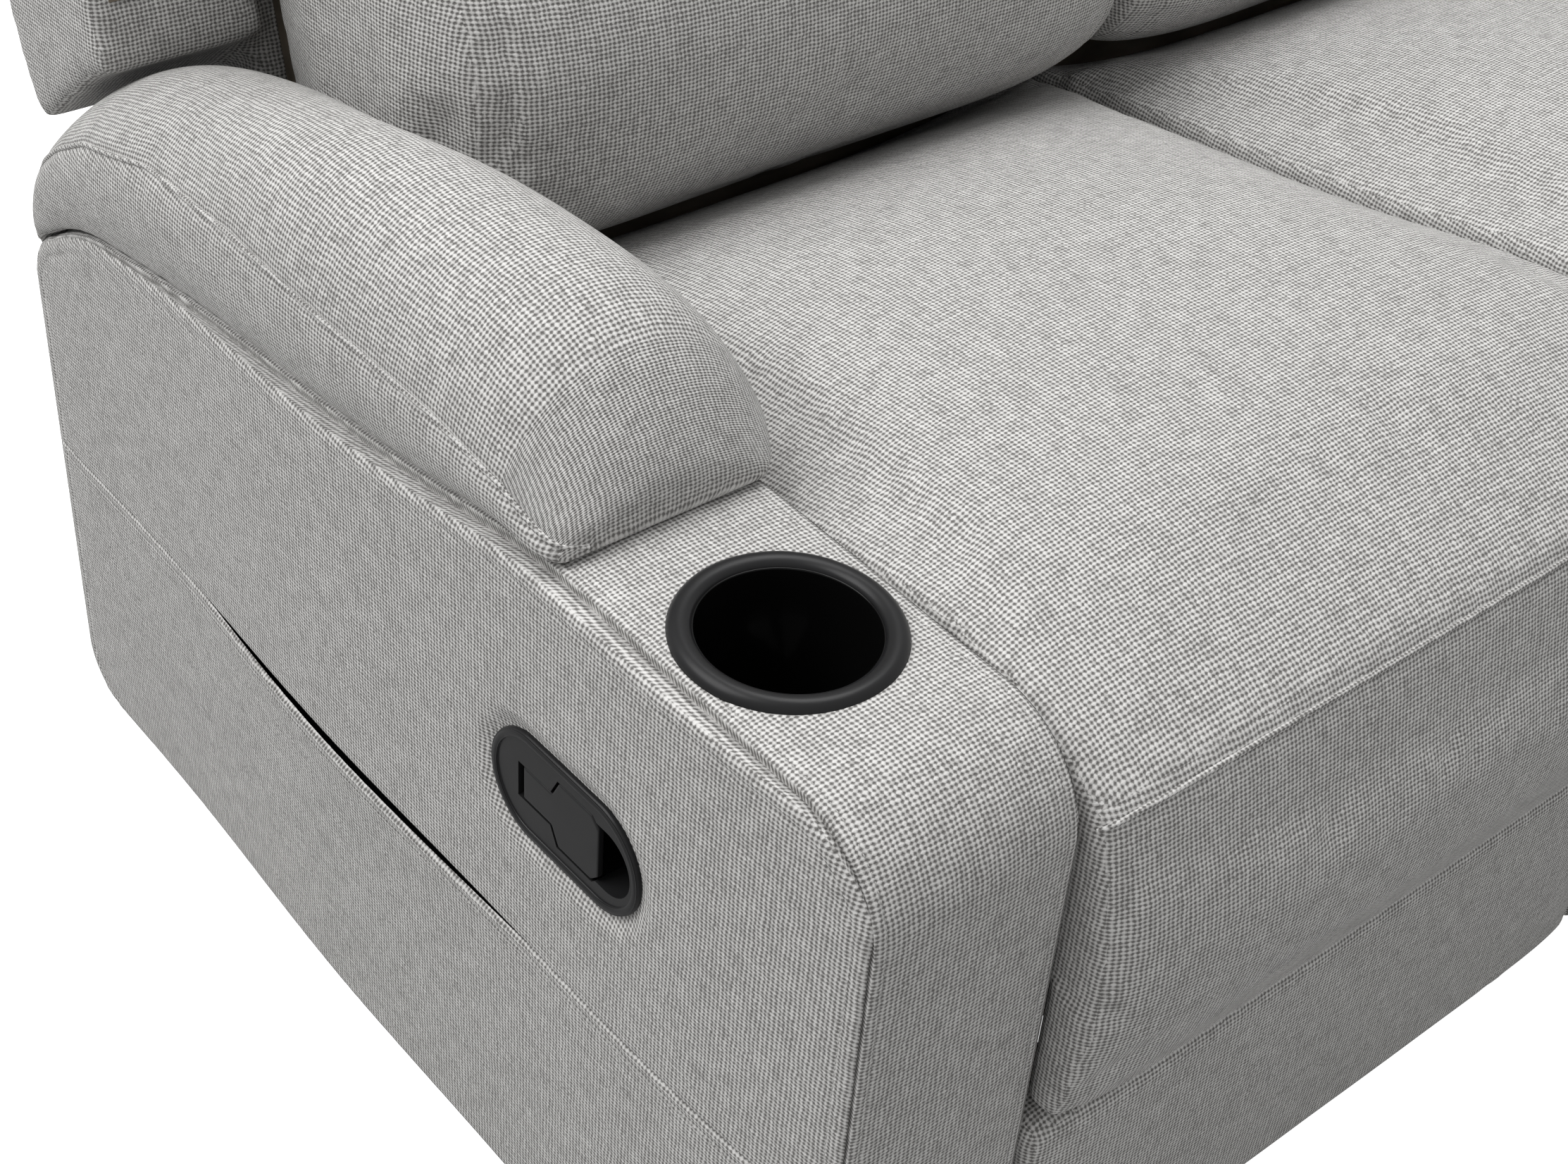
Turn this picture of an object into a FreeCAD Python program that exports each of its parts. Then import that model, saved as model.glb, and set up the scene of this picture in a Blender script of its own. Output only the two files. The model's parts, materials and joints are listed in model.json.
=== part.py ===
"""Reclining sofa: three seats, the two end seats recline and have a footrest.

Sizes are in millimetres. Lengths along Y are measured from the front face of
the arms, towards the back, and heights from the floor. put() then moves each
piece so that the row's origin is on the floor, under the middle of the sofa.
The left end is the viewer's left (-X), and the right end is its mirror image.
"""
import FreeCAD, Part
import math
import os

V = FreeCAD.Vector
os.makedirs("parts", exist_ok=True)

# Overall layout
seat_width = 575.0          # from one seat joint to the next
arm_width = 135.0           # between the two seams of an arm
arm_depth = 848.0           # front face to rear face of an arm
floor_gap = 43.0            # under arms and rails, the height of the feet
side_gap = 2.0              # between a moving cushion and what stands beside it
seat_proud = 36.0           # how far the seat front stands out before the arms
back_reach = 934.0          # rearmost point of the back, from the arm front
sofa_height = 996.0         # top of the headrests

# Arm body, seen from the side
arm_top = 529.0             # height of the strip, carried forward to the arm front
strip_slope = math.radians(1.6)
nose_radius = 64.0          # rounding from the front face to the top
strip_foam = 15.0           # padding under the front and top strip
skin = 3.0                  # side panel thickness at its seams
board = 12.0                # plywood of the arm frames
side_bulge = 10.0           # fullness of the outer side panel half way up
pocket_bulge = 13.0         # the same at the pocket
foot_bulge = 13.5           # the same just above the bottom edge
hem_round = 8.0             # rounding of the bottom edge
heel_round = 40.0           # bottom rear corner of the arm, seen from the side

# Side pocket
pocket_z = 268.0            # height of the seam that the pocket opens in
pocket_slit = 6.0
pocket_y0, pocket_y1 = 250.0, 640.0
pocket_deep = 165.0
pocket_wide = 26.0
lining = 1.5

# Arm pad
pad_y0 = 241.0
pad_overhang = 6.0          # past the outer seam
pad_clear = 0.3

# Cup holder
cup_y, cup_a = 145.5, 66.0
cup_flange_r = 60.4
cup_inner_r = 46.7
cup_wall = 2.4
cup_deep = 84.0
cup_lip = 4.2               # height of the flange above the strip
cup_draft = 2.2             # how much the cup narrows to its floor

# Recliner handle
handle_y, handle_z = 224.0, 388.0
bezel_length, bezel_height = 130.0, 70.6
bezel_thick = 3.0
bezel_face = 8.0            # how far out of the seam plane the bezel is seated
well_deep = 26.0
paddle_front, paddle_back = 193.3, 228.6
paddle_high = 46.0
neck_high = 22.5
neck_end = 264.0
paddle_thick = 4.0
paddle_gap = 1.0
paddle_sunk = 1.0           # paddle face behind the rim of the bezel
pivot_y = 258.0
pivot_r = 2.5
hub_r = 4.6
finger_front = 166.0
fit = 0.05                  # radial clearance of running fits

# Seat cushion
seat_rear_y = 634.0
# Top of the cushion from the back to the front: depth, height at its ends, height in its middle
seat_top = [(634.0, 463.0, 432.0), (524.0, 478.0, 499.0), (388.0, 492.0, 539.0), (264.0, 510.0, 551.0),
            (148.0, 531.0, 548.0), (60.0, 523.0, 531.0), (-16.0, 481.0, 489.0)]
edge_draw = 6.0             # how far its ends are drawn in
seat_drop = 261.0           # lowest edge of the front
seat_front_in = 14.0        # back of the padded front

# Seat frame
rail = 25.0
deck_z0, deck_z1 = 330.0, 368.0
front_rail_z0 = 284.0
front_rail_y0 = 16.0
rear_rail_y1 = 636.0
wire_r = 1.8
seat_base = deck_z1 + 2.0 * wire_r + 0.3     # underside of the cushion
spring_rows = 5
spring_loops = 14

# Footrest and its links: pivots as (distance behind the arm front, height)
panel_y0, panel_y1 = -12.0, 42.0
panel_z0, panel_z1 = 52.0, 250.0
panel_board = 14.0
link_p1 = (136.2, 280.7)
link_p2 = (132.7, 313.9)
link_a = (256.6, 87.8)
link_m = (237.7, 152.5)
link_reach = 0.388          # how far the front crank goes on past its middle pivot
link_c = (58.0, 235.3)
link_d = (58.0, 163.9)
link_turn = 92.9            # degrees that the front crank turns
link_wide = 22.0
link_thick = 4.0
link_pitch = 5.0
rivet_r = 5.0
open_r = 3.5                # pins of the two open pivots
rivet_head_r = 8.0
rivet_head = 0.9
slot_a = 2.6                # play of the open pivot between rear crank and long link
slot_d = 4.4                # play of the open pivot between short link and bracket
tube_r = 9.0

# Carriage
base_plate_s = 8.0          # mechanism plate, inward of the seat joint
base_plate_thick = 3.0
seat_plate_s = 13.0
slide_travel = 40.0
slide_r = 5.0
slide_z = 245.0
slide_y = (380.0, 640.0)
hinge_y, hinge_z = 700.0, 330.0
hinge_r = 6.0

# Rails and feet
rail_high = 47.0
front_beam_y, rear_beam_y = 302.0, 742.0
beam_deep = 40.0
foot_r = 22.0
foot_y = (42.0, arm_depth - heel_round - foot_r - 6.0)
side_board = 19.0
rear_panel_thick = 22.0
rear_panel_z1 = 276.0

# Backs
lean = math.radians(14.0)
lumbar_draw = 30.0          # how far the ends of the back cushions fall back
headrest_draw = 27.0
back_low, back_high = 26.0, 640.0
frame_thick = 24.0
panel_thick = 4.0
cover_z0 = 305.0            # lower edge of the moving back
wing_a = 22.0               # outer face of the wing, from the arm's outer seam

joint_x = [-1.5 * seat_width, -0.5 * seat_width, 0.5 * seat_width, 1.5 * seat_width]
arm_in = joint_x[3]
arm_out = arm_in + arm_width
origin_y = (back_reach - seat_proud) / 2.0
pieces = {}


def put(name, *solids):
    """Keep a node's solids, moved to the row's origin."""
    shape = solids[0] if len(solids) == 1 else Part.makeCompound(list(solids))
    shape = shape.copy()
    shape.translate(V(0, -origin_y, 0))
    pieces[name] = shape


def both(name, *solids):
    """A node for the left end, and its mirror image for the right end."""
    put(name + "_left", *solids)
    put(name + "_right", *[mirrored(s) for s in solids])


def mirrored(shape):
    return shape.mirror(V(0, 0, 0), V(1, 0, 0))


def block(x0, x1, y0, y1, z0, z1):
    return Part.makeBox(x1 - x0, y1 - y0, z1 - z0, V(x0, y0, z0))


def rod(p, direction, radius, length):
    return Part.makeCylinder(radius, length, V(*p), V(*direction))


def arm_x(a):
    """X of a place in the left arm, a measured inward from its outer seam."""
    return -arm_out + a


def edges_between(start, moves, point):
    """Lines, arcs and curves from start. A move is (end), (middle, end) or more points."""
    out, here = [], start
    for move in moves:
        if len(move) == 1:
            if math.dist(here, move[0]) > 1e-6:
                out.append(Part.LineSegment(point(*here), point(*move[0])).toShape())
        elif len(move) == 2:
            out.append(Part.Arc(point(*here), point(*move[0]), point(*move[1])).toShape())
        else:
            curve = Part.BSplineCurve()
            curve.interpolate([point(*here)] + [point(*p) for p in move])
            out.append(curve.toShape())
        here = move[-1]
    return out


def side_wire(x, start, moves):
    """A closed wire in the plane at x, from (y, z) points."""
    def point(y, z):
        return V(x, y, z)
    closed = list(moves) + [(start,)]
    return Part.Wire(edges_between(start, closed, point))


def cross_wire(y, start, moves):
    """A closed wire in the plane at y, from (x, z) points."""
    def point(x, z):
        return V(x, y, z)
    closed = list(moves) + [(start,)]
    return Part.Wire(edges_between(start, closed, point))


def prism(x0, x1, start, moves):
    """A side outline carried from x0 to x1."""
    return Part.Face(side_wire(x0, start, moves)).extrude(V(x1 - x0, 0, 0))


def loft(wires):
    return Part.makeLoft(wires, True, False)


def union(first, *rest):
    return first.fuse(list(rest)).removeSplitter() if rest else first


def bar(x, thick, points, wide):
    """A flat link with round ends through (y, z) points, from x to x + thick."""
    r = wide / 2.0
    shape = None
    for (y0, z0), (y1, z1) in zip(points, points[1:]):
        length = math.hypot(y1 - y0, z1 - z0)
        ny, nz = (z1 - z0) / length * r, -(y1 - y0) / length * r
        web = Part.Face(Part.makePolygon([
            V(x, y0 + ny, z0 + nz), V(x, y1 + ny, z1 + nz),
            V(x, y1 - ny, z1 - nz), V(x, y0 - ny, z0 - nz), V(x, y0 + ny, z0 + nz)]))
        web = web.extrude(V(thick, 0, 0))
        shape = web if shape is None else shape.fuse(web)
    for y, z in points:
        shape = shape.fuse(rod((x, y, z), (1, 0, 0), r, thick))
    return shape.removeSplitter()


def slot(x0, x1, y, z, radius, run):
    """A stadium along Y, from y - run to y, to cut out or to add."""
    return union(rod((x0, y, z), (1, 0, 0), radius, x1 - x0),
                 rod((x0, y - run, z), (1, 0, 0), radius, x1 - x0),
                 block(x0, x1, y - run, y, z - radius, z + radius))


# The arm's side outline. A share runs from 0 at the front of the pad to 1 at the rear of the arm.
pad_low = [(0.0, 535.5), (0.097, 531.5), (0.262, 516.0), (0.427, 506.5), (0.624, 496.5), (0.789, 482.0),
           (0.88, 468.0), (0.947, 445.0), (1.0, 410.0)]
pad_seam = [(0.0, 546.0), (0.035, 552.0), (0.087, 562.0), (0.186, 570.0), (0.346, 572.0), (0.519, 576.0),
            (0.692, 570.0), (0.825, 548.0), (0.888, 527.0), (0.944, 500.0), (0.984, 462.0), (1.0, 430.0)]


def strip_z(y):
    return arm_top + y * math.tan(strip_slope)


def arm_y(share):
    return pad_y0 + share * (arm_depth - pad_y0)


def between(table, y):
    """Height at y on a line through a few measured points."""
    share = (y - pad_y0) / (arm_depth - pad_y0)
    for (s0, z0), (s1, z1) in zip(table, table[1:]):
        if share <= s1:
            return z0 + (z1 - z0) * (share - s0) / (s1 - s0)
    return table[-1][1]


def arm_outline(inset):
    """Side outline of the arm body, moved in by inset, as start and moves."""
    r = nose_radius - inset
    t = strip_slope
    cz = arm_top + nose_radius * math.tan(t) - nose_radius / math.cos(t)
    cy = nose_radius

    def on_nose(angle):
        return (cy - r * math.cos(angle), cz + r * math.sin(angle))

    def low(number, back=0.0, down=1.0):
        share, z = pad_low[number]
        return (arm_y(share) - back * inset, z - down * inset)
    full = math.pi / 2.0 - t
    rear, heel = arm_depth - inset, heel_round - inset
    heel_y, heel_z = arm_depth - heel_round, floor_gap + heel_round
    start = (inset, floor_gap)
    bend = arm_y(0.048)
    moves = [((inset, cz),),
             (on_nose(full / 2.0), on_nose(full)),
             ((pad_y0, strip_z(pad_y0) - inset),),
             ((bend, strip_z(bend) - 2.0 - inset), low(1)),
             (low(2), low(3)),
             (low(4), low(5)),
             (low(6, 0.3), low(7, 0.6, 0.9)),
             ((arm_y(0.984) - 0.85 * inset, 428.0 - 0.5 * inset), (rear, 398.0)),
             ((rear, heel_z),),
             ((heel_y + heel * math.sqrt(0.5), heel_z - heel * math.sqrt(0.5)), (heel_y, heel_z - heel)),
             ((heel_y, floor_gap),)]
    return start, moves


def side_fullness(y):
    """How far the outer panel swells at y, from none at the front seam to none behind."""
    ease = min(max(y / 130.0, 0.0), 1.0)
    fade = min(max((arm_depth - y) / 420.0, 0.0), 1.0)
    return math.sin(ease * math.pi / 2.0) * (0.25 + 0.75 * math.sin(fade * math.pi / 2.0))


def foot_edge(y):
    """Place of the bottom edge: out with the swell, drawn in towards the rear."""
    tuck = max((y - arm_y(0.4)) / (arm_depth - arm_y(0.4)), 0.0)
    return -foot_bulge * side_fullness(y) * (1.0 - tuck)


def pocket_edge(y):
    return -pocket_bulge * side_fullness(y)


def outer_stations():
    return [0.5, 60.0, 150.0] + [arm_y(share) for share in (0.1, 0.4, 0.7, 0.89)] + [arm_depth - 0.5]


def arm_top_z(y):
    """Height of the arm body's outline at y."""
    cz = arm_top + nose_radius * math.tan(strip_slope) - nose_radius / math.cos(strip_slope)
    if y < nose_radius:
        return cz + math.sqrt(max(nose_radius ** 2 - (nose_radius - y) ** 2, 0.0))
    if y < pad_y0:
        return strip_z(y)
    return between(pad_low, y)


def outer_panel():
    """Outer side panel, from the pocket seam up, clipped to the arm's outline."""
    low = pocket_z
    wires = []
    for y in outer_stations():
        top = arm_top_z(y) + 1.0
        mid = low + 0.5 * (top - low)
        full = -side_bulge * side_fullness(y)
        wires.append(cross_wire(y, (arm_x(skin), low), [
            ((arm_x(pocket_edge(y)), low),),
            ((arm_x(0.5 * (full + pocket_edge(y)) - 1.5), mid), (arm_x(-0.2), top)),
            ((arm_x(skin), top),)]))
    body = loft(wires)
    return body.common(prism(arm_x(-60.0), arm_x(60.0), *arm_outline(0.0)))


def pocket_panel():
    """Lower side panel. Its top edge is the hem of the pocket, open between the pocket's ends."""
    top = pocket_z
    wires = []
    for y in outer_stations():
        edge, hem = foot_edge(y), pocket_edge(y)
        r = min(hem_round, skin - 0.4 - edge)
        turn = floor_gap + r
        wires.append(cross_wire(y, (arm_x(skin), top), [
            ((arm_x(hem), top),),
            ((arm_x(0.5 * (edge + hem) - 1.0), 0.5 * (top + turn)), (arm_x(edge), turn)),
            ((arm_x(edge + 0.3 * r), floor_gap + 0.3 * r), (arm_x(edge + r), floor_gap)),
            ((arm_x(skin), floor_gap),)]))
    body = loft(wires).common(prism(arm_x(-60.0), arm_x(60.0), *arm_outline(0.0)))
    return body.cut(block(arm_x(-60.0), arm_x(60.0), pocket_y0, pocket_y1, pocket_z - pocket_slit, pocket_z + 1.0))


def stadium(x0, x1, grow):
    """The handle bezel's outline, grown, as a solid along X."""
    r = bezel_height / 2.0 + grow
    half = bezel_length / 2.0 - bezel_height / 2.0
    return slot(x0, x1, handle_y + half, handle_z, r, 2.0 * half)


def make_arm():
    well = stadium(arm_x(-40.0), arm_x(well_deep + 4.0), -5.0 + 0.5)
    seat = stadium(arm_x(-40.0), arm_x(-bezel_face), 0.5)
    cup_axis = V(0, -math.sin(strip_slope), math.cos(strip_slope))
    cup_at = V(arm_x(cup_a), cup_y, strip_z(cup_y))
    cup_hole = Part.makeCylinder(cup_inner_r + cup_wall + 1.0, 200.0, cup_at - cup_axis * 120.0, cup_axis)

    both("arm_outer_panel", outer_panel().cut([well, seat]))
    both("arm_pocket_panel", pocket_panel())

    shell = prism(arm_x(skin), arm_x(arm_width - skin), *arm_outline(0.0))
    core = prism(arm_x(skin) - 1.0, arm_x(arm_width - skin) + 1.0, *arm_outline(strip_foam))
    core = union(core, block(arm_x(0.0), arm_x(arm_width), strip_foam, arm_depth - heel_round,
                             0.0, floor_gap + 2.0))
    both("arm_strip", shell.cut([core, cup_hole]))
    both("arm_inner_panel", prism(arm_x(arm_width - skin), arm_x(arm_width), *arm_outline(0.0))
         .cut(cable_hole()))

    window = block(arm_x(0.0), arm_x(20.0), pocket_y0 - 4.0, pocket_y1 + 4.0,
                   pocket_z - pocket_deep - 6.0, pocket_z + 16.0)
    outer = prism(arm_x(skin), arm_x(skin + board), *arm_outline(strip_foam)).cut([window, well])
    inner = prism(arm_x(arm_width - skin - board), arm_x(arm_width - skin),
                  *arm_outline(strip_foam)).cut(cable_hole())
    x0, x1 = arm_x(skin + board), arm_x(arm_width - skin - board)
    top_board = prism(x0, x1, *arm_outline(strip_foam)).common(
        block(x0, x1, 30.0, 236.0, strip_z(0.0) - strip_foam - 18.0, 600.0)).cut(cup_hole)
    posts = [block(x0, x1, strip_foam, strip_foam + 30.0, floor_gap, 440.0),
             block(x0, x1, arm_depth - strip_foam - 30.0, arm_depth - strip_foam, floor_gap, 380.0),
             block(x0, x1, strip_foam + 30.0, arm_depth - strip_foam - 30.0, floor_gap, floor_gap + 30.0),
             block(x0, x1, 470.0, 500.0, floor_gap + 30.0, 480.0)]
    pocket_space = block(x0 - 1.0, arm_x(skin + board + pocket_wide), pocket_y0 - 4.0, pocket_y1 + 4.0,
                         pocket_z - pocket_deep - 4.0, pocket_z + 16.0)
    inside = prism(x0, x1, *arm_outline(strip_foam))
    both("arm_frame", outer, inner, top_board, *[p.cut(pocket_space).common(inside) for p in posts])

    bag = block(arm_x(skin), arm_x(skin + board + pocket_wide - 2.0), pocket_y0, pocket_y1,
                pocket_z - pocket_deep, pocket_z + 12.0)
    hollow = block(arm_x(-1.0), arm_x(skin + board + pocket_wide - 2.0 - lining), pocket_y0 + lining,
                   pocket_y1 - lining, pocket_z - pocket_deep + lining, pocket_z + 12.0 - lining)
    both("pocket_lining", bag.cut(hollow))

    both("arm_pad", arm_pad())
    both("cup_holder", cup_holder(cup_at, cup_axis))


# Form of the pad: share, crown above the seams, reach past the inner seam, narrowing of the outer side
pad_form = [(0.002, 17.0, 0.0, 9.0), (0.013, 27.0, 8.0, 3.0), (0.035, 41.0, 18.0, 0.0), (0.06, 52.0, 24.0, 0.0),
            (0.102, 64.0, 26.0, 0.0), (0.17, 70.0, 24.0, 0.0), (0.272, 71.0, 19.0, 0.0), (0.389, 70.0, 6.0, 0.0),
            (0.451, 66.0, -4.0, 0.0), (0.6, 50.0, -4.0, 0.0), (0.694, 40.0, -4.0, 0.0), (0.83, 35.0, -4.0, 0.0),
            (0.921, 32.0, -4.0, 0.0), (0.974, 25.0, -6.0, 4.0), (0.997, 12.0, -13.0, 12.0)]


def arm_pad():
    wires = []
    for share, crown, reach, narrow in pad_form:
        y = arm_y(share)
        low, seam = between(pad_low, y), between(pad_seam, y)
        out0, out1 = arm_x(narrow - pad_overhang), arm_x(arm_width + reach)
        foot = arm_x(arm_width + min(reach, -1.0))
        wires.append(cross_wire(y, (arm_x(narrow), low), [
            ((out0 - 1.5, 0.5 * (low + seam)), (out0 + 1.0, seam)),
            ((0.5 * (out0 + out1), seam + crown), (out1 - 1.0, seam)),
            ((0.35 * foot + 0.65 * out1 + 2.0, 0.5 * (low + seam)), (foot, low))]))
    pad = loft(wires)
    body = prism(arm_x(-40.0), arm_x(arm_width + 60.0), *arm_outline(-pad_clear))
    return pad.cut(body)


def cup_holder(at, axis):
    """Turned cup with a rounded flange that lies on the strip."""
    r_in, r_out = cup_inner_r, cup_inner_r + cup_wall
    low = -cup_deep

    def point(r, z):
        return V(r, 0, z)
    start = (0.0, low)
    moves = [((r_in - cup_draft - 2.0, low),),
             ((r_in - cup_draft - 0.6, low + 0.6), (r_in - cup_draft, low + 2.0)),
             ((r_in, cup_lip - 1.2),),
             ((r_in + 0.5, cup_lip - 0.2), (r_in + 2.0, cup_lip),),
             ((cup_flange_r - 4.0, cup_lip - 1.0), (cup_flange_r, 0.1)),
             ((r_out, 0.1),),
             ((r_out - cup_draft, low + 1.0),),
             ((r_out - cup_draft - 3.0, low - cup_wall),),
             ((0.0, low - cup_wall),)]
    wire = Part.Wire(edges_between(start, moves + [(start,)], point))
    cup = Part.Face(wire).revolve(V(0, 0, 0), V(0, 0, 1), 360.0)
    cup.rotate(V(0, 0, 0), V(1, 0, 0), math.degrees(strip_slope))
    cup.translate(at)
    return cup


def paddle_outline(x0, x1, end, grow):
    """The T of the handle: a wide grip in front of a narrow neck."""
    y0, y1, y2 = paddle_front - grow, paddle_back + grow, end + grow
    h, n = paddle_high / 2.0 + grow, neck_high / 2.0 + grow
    cut, slope = 6.0, 6.0
    pts = [(y0, -h + cut), (y0 + cut, -h), (y1, -h), (y1 + slope, -n), (y2, -n),
           (y2, n), (y1 + slope, n), (y1, h), (y0 + cut, h), (y0, h - cut)]
    poly = Part.makePolygon([V(x0, y, handle_z + z) for y, z in pts + pts[:1]])
    return Part.Face(poly).extrude(V(x1 - x0, 0, 0))


def make_handle():
    face = arm_x(-bezel_face)
    plate = stadium(face - bezel_thick, face, 0.0)
    dish = stadium(face - bezel_thick - 1.0, face - bezel_thick + 1.0, -4.5)
    body = stadium(face, arm_x(well_deep), -5.0)
    well = union(paddle_outline(face - bezel_thick - 5.0, arm_x(well_deep - 3.0), neck_end, paddle_gap),
                 slot(face - bezel_thick - 5.0, arm_x(well_deep - 3.0), paddle_front + 4.0, handle_z,
                      paddle_high / 2.0 - 2.0, paddle_front + 4.0 - finger_front - 21.0))
    boss_z = neck_high / 2.0 + paddle_gap
    paddle_x = face - bezel_thick + paddle_sunk
    pin_x = paddle_x + hub_r
    pin = rod((pin_x, pivot_y, handle_z - boss_z - 4.8), (0, 0, 1), pivot_r, 2.0 * boss_z + 9.6)
    pin_hole = rod((pin_x, pivot_y, handle_z - boss_z - 5.0), (0, 0, 1), pivot_r + fit, 2.0 * boss_z + 10.0)
    both("handle_bezel", union(plate, body).cut([dish, well, pin_hole]), pin)

    paddle = paddle_outline(paddle_x, paddle_x + paddle_thick, pivot_y + 2.0, 0.0)
    hub = rod((pin_x, pivot_y, handle_z - neck_high / 2.0), (0, 0, 1), hub_r, neck_high)
    lever = block(pin_x, pin_x + 14.0, pivot_y - 3.0, pivot_y + 3.0, handle_z - 4.0, handle_z + 4.0)
    both("handle_paddle", union(paddle, hub, lever).cut(pin_hole))


cable_y, cable_z = 430.0, 150.0


def cable_hole():
    return rod((arm_x(arm_width - 40.0), cable_y, cable_z), (1, 0, 0), 5.0, 80.0)


def make_cable():
    """Release cable from the back of the bezel to the mechanism plate."""
    x_end = -arm_in + base_plate_s
    route = [(arm_x(well_deep), 246.0, 388.0), (arm_x(52.0), 246.0, 388.0), (arm_x(76.0), 262.0, 352.0),
             (arm_x(82.0), 292.0, 306.0), (arm_x(84.0), 300.0, 246.0), (arm_x(84.0), 318.0, 190.0),
             (arm_x(88.0), 368.0, 156.0), (arm_x(98.0), 412.0, 149.0), (arm_x(119.0), cable_y, cable_z),
             (x_end, cable_y, cable_z)]
    radius = 3.0
    pts = [V(*p) for p in route]
    edges, here = [], pts[0]
    for before, corner, after in zip(pts, pts[1:], pts[2:]):
        u, w = (before - corner), (after - corner)
        lu, lw = u.Length, w.Length
        u.normalize()
        w.normalize()
        half = math.acos(max(-1.0, min(1.0, u.dot(w)))) / 2.0
        tangent = 0.45 * min(lu, lw)
        r = tangent * math.tan(half)
        p0, p1 = corner + u * tangent, corner + w * tangent
        mid_dir = (u + w)
        mid_dir.normalize()
        centre = corner + mid_dir * (r / math.sin(half))
        middle = centre - mid_dir * r
        edges += [Part.LineSegment(here, p0).toShape(), Part.Arc(p0, middle, p1).toShape()]
        here = p1
    edges.append(Part.LineSegment(here, pts[-1]).toShape())
    path = Part.Wire(edges)
    start_dir = (pts[1] - pts[0])
    start_dir.normalize()
    ring = Part.Wire(Part.Circle(pts[0], start_dir, radius).toShape())
    both("release_cable", path.makePipeShell([ring], True, False))


def stations():
    """Places across a cushion, from -1 to 1, with how much of the crown each has
    and how far the cushion is drawn in there."""
    for t in (-1.0, -0.93, -0.72, -0.36, 0.0, 0.36, 0.72, 0.93, 1.0):
        yield t, 1.0 - abs(t) ** 3.0, abs(t) ** 9.0


# Seats
def seat_cushion_at(x_mid):
    half = seat_width / 2.0 - side_gap
    wires = []
    for share, rise, pull in stations():
        draw = edge_draw * pull
        front = seat_proud - draw * 1.6
        top = [(y, low + (high - low) * rise) for y, low, high in seat_top]
        top[-1] = (top[-1][0] + draw, top[-1][1])
        wires.append(side_wire(x_mid + share * half, (seat_rear_y, seat_base), [
            (top[0],), tuple(top[1:]),
            ((-front, 0.5 * (top[-1][1] + seat_drop) + 8.0), (-front + 14.0, seat_drop)),
            ((seat_front_in, seat_drop),),
            ((seat_front_in, seat_base),)]))
    return loft(wires)


def spring_wires(x_mid, y0, y1, z):
    """Zigzag springs, front to back, each one bent wire."""
    out = []
    clear = seat_plate_s + link_thick + rail + 20.0
    step = (seat_width - 2.0 * clear) / (spring_rows - 1)
    pitch = (y1 - y0) / spring_loops
    r = pitch / 2.0
    reach = 11.0
    for row in range(spring_rows):
        x = x_mid - seat_width / 2.0 + clear + row * step
        edges = []
        here = V(x - reach, y0, z)
        side = -1.0
        for loop in range(spring_loops):
            there = V(x - side * reach, here.y, z)
            edges.append(Part.LineSegment(here, there).toShape())
            turn = V(there.x - side * r, there.y + r, z)
            end = V(there.x, there.y + pitch, z)
            edges.append(Part.Arc(there, turn, end).toShape())
            here, side = end, -side
        edges.append(Part.LineSegment(here, V(x - side * reach, here.y, z)).toShape())
        path = Part.Wire(edges)
        ring = Part.Wire(Part.Circle(V(x - reach, y0, z), V(1, 0, 0), wire_r).toShape())
        out.append(path.makePipeShell([ring], True, False))
    return out


def seat_frame_at(x_mid):
    x0 = x_mid - seat_width / 2.0 + seat_plate_s + link_thick
    x1 = 2.0 * x_mid - x0
    y0, y1 = front_rail_y0, rear_rail_y1
    return union(block(x0, x0 + rail, y0, y1, deck_z0, deck_z1),
                 block(x1 - rail, x1, y0, y1, deck_z0, deck_z1),
                 block(x0 + rail, x1 - rail, y0, y0 + rail, front_rail_z0, deck_z1),
                 block(x0 + rail, x1 - rail, y1 - rail, y1, deck_z0, deck_z1))


def panel_pad_at(x_mid):
    """Padded front of the footrest, and of the fixed panel in the middle."""
    half = seat_width / 2.0 - side_gap - 1.0
    back = panel_y1 - panel_board
    wires = []
    for share, rise, pull in stations():
        y0 = panel_y0 + edge_draw * pull
        wires.append(side_wire(x_mid + share * half, (back, panel_z0), [
            ((back, panel_z1),),
            ((y0 + 16.0, panel_z1),),
            ((y0 + 4.5, panel_z1 - 4.5), (y0 + 1.0, panel_z1 - 18.0)),
            ((y0, 0.5 * (panel_z0 + panel_z1)), (y0 + 1.0, panel_z0 + 18.0)),
            ((y0 + 4.5, panel_z0 + 4.5), (y0 + 16.0, panel_z0))]))
    return loft(wires)


def panel_board_at(x_mid):
    half = seat_width / 2.0 - side_gap - 4.0
    return block(x_mid - half, x_mid + half, panel_y1 - panel_board, panel_y1, panel_z0 + 4.0, panel_z1 - 4.0)


def layer(number):
    """Distance of a link layer from the seat joint. Layer 0 is the seat plate."""
    return seat_plate_s + number * link_pitch


def sides(x_mid, make):
    """Make a piece at the left side of a seat, and mirror it to the right side."""
    left = make(x_mid - seat_width / 2.0)
    right = left.mirror(V(x_mid, 0, 0), V(1, 0, 0))
    return [left, right]


def pin_through(x, at, first, last, radius=rivet_r, head=True):
    """A rivet from the outer face of one layer to the inner face of another."""
    x0, x1 = x + layer(first), x + layer(last) + link_thick
    shape = rod((x0, at[0], at[1]), (1, 0, 0), radius, x1 - x0)
    if head:
        shape = shape.fuse(rod((x1 + fit, at[0], at[1]), (1, 0, 0), rivet_head_r, rivet_head - fit))
        shape = shape.fuse(rod((x1 - 0.5, at[0], at[1]), (1, 0, 0), radius, 0.5 + rivet_head))
    return shape


def hole_at(x, at, number, play=fit, radius=rivet_r):
    return rod((x + layer(number) - 1.0, at[0], at[1]), (1, 0, 0), radius + play, link_thick + 2.0)


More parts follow.
